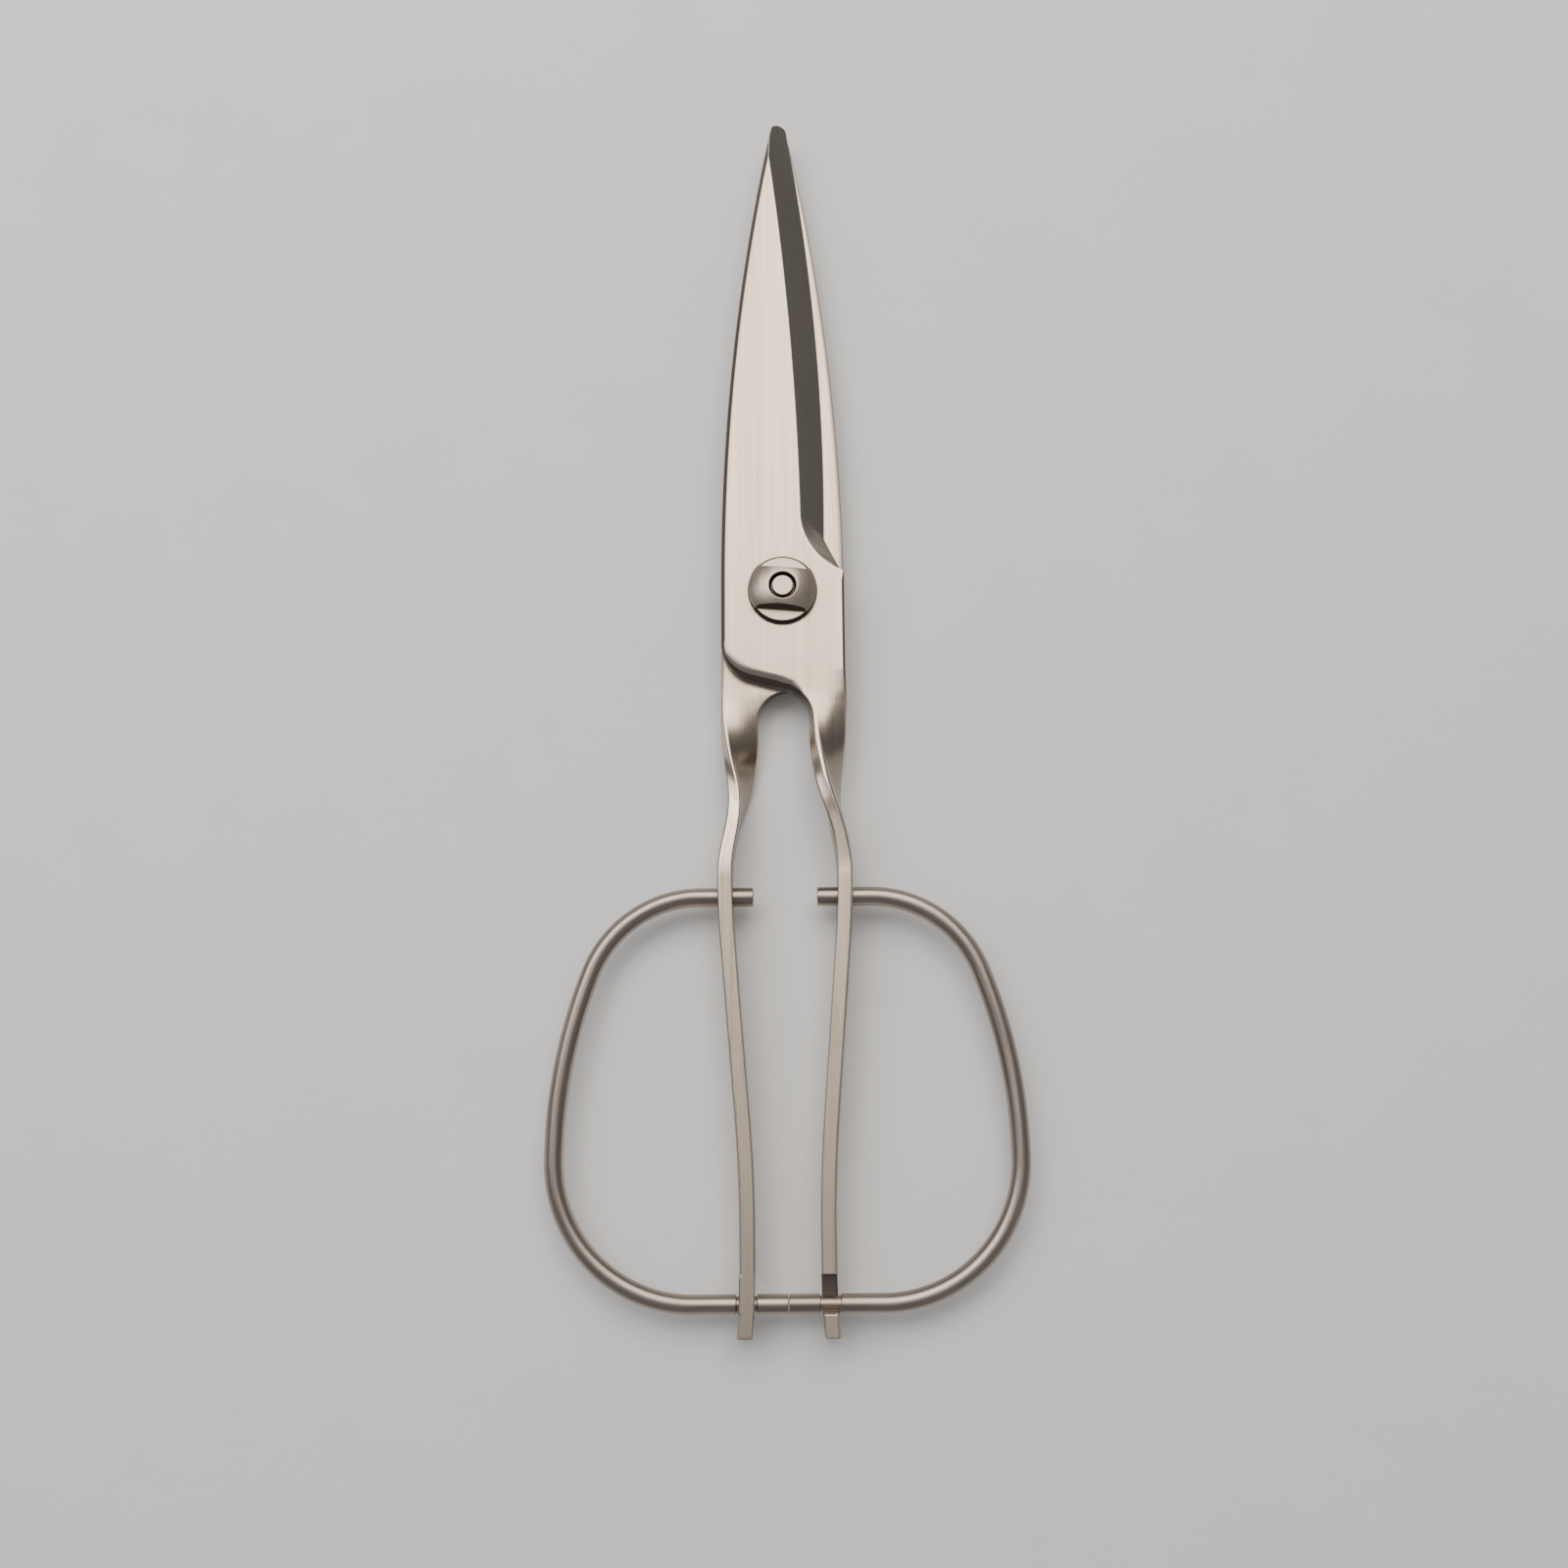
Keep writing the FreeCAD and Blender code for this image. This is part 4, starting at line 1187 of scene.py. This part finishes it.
@dataclass
class Studio:
    """Pale floor, soft lights and the camera."""

    floor_size: float = 6.0
    floor_level: float = -0.00004
    floor_tones: tuple[Colour, Colour] = ((0.78, 0.79, 0.80, 1.0), (0.83, 0.84, 0.85, 1.0))
    air_colour: Colour = (0.97, 0.985, 1.0, 1.0)
    air_strength: float = 0.27
    lamps: tuple[Lamp, ...] = (
        Lamp("key", (0.03, 0.46, 0.75), (0.8, 0.7), 7.0, (1.0, 0.91, 0.82)),
        Lamp("side", (-0.42, 0.22, 0.62), (0.5, 0.5), 2.2, (1.0, 0.96, 0.92)),
        Lamp("over", (0.03, -0.02, 0.8), (0.3, 0.16), 0.2, (1.0, 0.95, 0.90)))
    camera_place: tuple[float, float, float] = (-0.00048, -0.0837, 0.2788)
    tilt: float = 10.64
    lean: float = 0.5
    lens: float = 38.77

    def lay_floor(self) -> None:
        """A flat pale sheet with a faint mottle."""
        half = self.floor_size / 2
        corners = [(-half, -half, 0), (half, -half, 0), (half, half, 0), (-half, half, 0)]
        mesh = bpy.data.meshes.new("studio_floor")
        mesh.from_pydata(corners, [], [(0, 1, 2, 3)])
        floor = bpy.data.objects.new("studio_floor", mesh)
        floor.location.z = self.floor_level
        bpy.context.scene.collection.objects.link(floor)
        graph = Graph("pale_floor")
        mottle = graph.streaks((60.0, 60.0, 60.0), 4.0)
        tone = graph.colour_mix(mottle, *self.floor_tones)
        mesh.materials.append(graph.finish(tone, 0.75, mottle, 0.00004, 0.0))

    def hang(self, lamp: Lamp) -> None:
        """Hang one light so that it looks at the pivot.

        Args:
            lamp: the light.
        """
        data = bpy.data.lights.new(lamp.name, "AREA")
        data.shape = "RECTANGLE"
        data.size, data.size_y = lamp.sides
        data.energy = lamp.watts
        data.color = lamp.colour
        made = bpy.data.objects.new(lamp.name, data)
        made.location = lamp.place
        made.rotation_euler = Vector(lamp.place).to_track_quat("Z", "Y").to_euler()
        bpy.context.scene.collection.objects.link(made)

    def set_camera(self) -> None:
        """A camera tilted back from straight down, and turned a little about the upright."""
        data = bpy.data.cameras.new("camera")
        data.sensor_width = 36.0
        data.lens = self.lens
        data.clip_start = 0.01
        camera = bpy.data.objects.new("camera", data)
        camera.location = self.camera_place
        tilt, lean = math.radians(self.tilt), math.radians(self.lean)
        ahead = Vector((math.sin(lean), math.cos(lean), 0.0))
        upright = Vector((0.0, 0.0, 1.0))
        forward = ahead * math.sin(tilt) - upright * math.cos(tilt)
        up = ahead * math.cos(tilt) + upright * math.sin(tilt)
        right = forward.cross(up)
        camera.rotation_euler = Matrix((right, up, -forward)).transposed().to_euler()
        bpy.context.scene.collection.objects.link(camera)
        bpy.context.scene.camera = camera

    def build(self) -> None:
        """Lay the floor, light the scene and set the camera."""
        self.lay_floor()
        world = bpy.data.worlds.new("studio_air")
        world.use_nodes = True
        air = world.node_tree.nodes["Background"].inputs
        air["Color"].default_value = self.air_colour
        air["Strength"].default_value = self.air_strength
        bpy.context.scene.world = world
        for lamp in self.lamps:
            self.hang(lamp)
        self.set_camera()


@dataclass
class Snips:
    """The whole tool: its pieces, what each rides on and which solid it stands for."""

    forging: ForgedHalf = field(default_factory=ForgedHalf)
    loop: FingerLoop = field(default_factory=FingerLoop)
    pivot: Pivot = field(default_factory=Pivot)

    def build(self) -> list[bpy.types.Object]:
        """Make every piece, dress it and hang it on its body.

        Returns:
            The finished pieces.
        """
        steel, wire, turned = ForgedSteel().build(), DrawnWire().build(), TurnedSteel().build()
        forge, bend, pivot = self.forging.build, self.loop.build, self.pivot
        plan = [
            (forge("front_forging", Half.FRONT), "front_half", "front_blade", "blade_steel", steel),
            (forge("back_forging", Half.BACK), "back_half", "back_blade", "blade_steel", steel),
            (bend("right_wire_loop", Half.FRONT), "right_loop", "right_finger_loop", "loop_wire", wire),
            (bend("left_wire_loop", Half.BACK), "left_loop", "left_finger_loop", "loop_wire", wire),
            (pivot.build_screw(), "back_half", "pivot_screw", "pivot_steel", turned),
            (pivot.build_washer(), "back_half", "pivot_washer", "pivot_steel", turned),
            (pivot.build_nut(), "back_half", "pivot_nut", "pivot_steel", turned),
        ]
        for piece, body, node, slot, material in plan:
            piece.data.materials.append(material)
            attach(piece, body)
            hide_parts(node)
            LOG.info("%s: %d vertices, rides on %s", piece.name, len(piece.data.vertices), body)
        return [row[0] for row in plan]


def main() -> None:
    logging.basicConfig(level=logging.INFO, format="%(message)s")
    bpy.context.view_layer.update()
    Studio().build()
    Snips().build()
    bpy.context.view_layer.update()


if __name__ == "__main__":
    main()
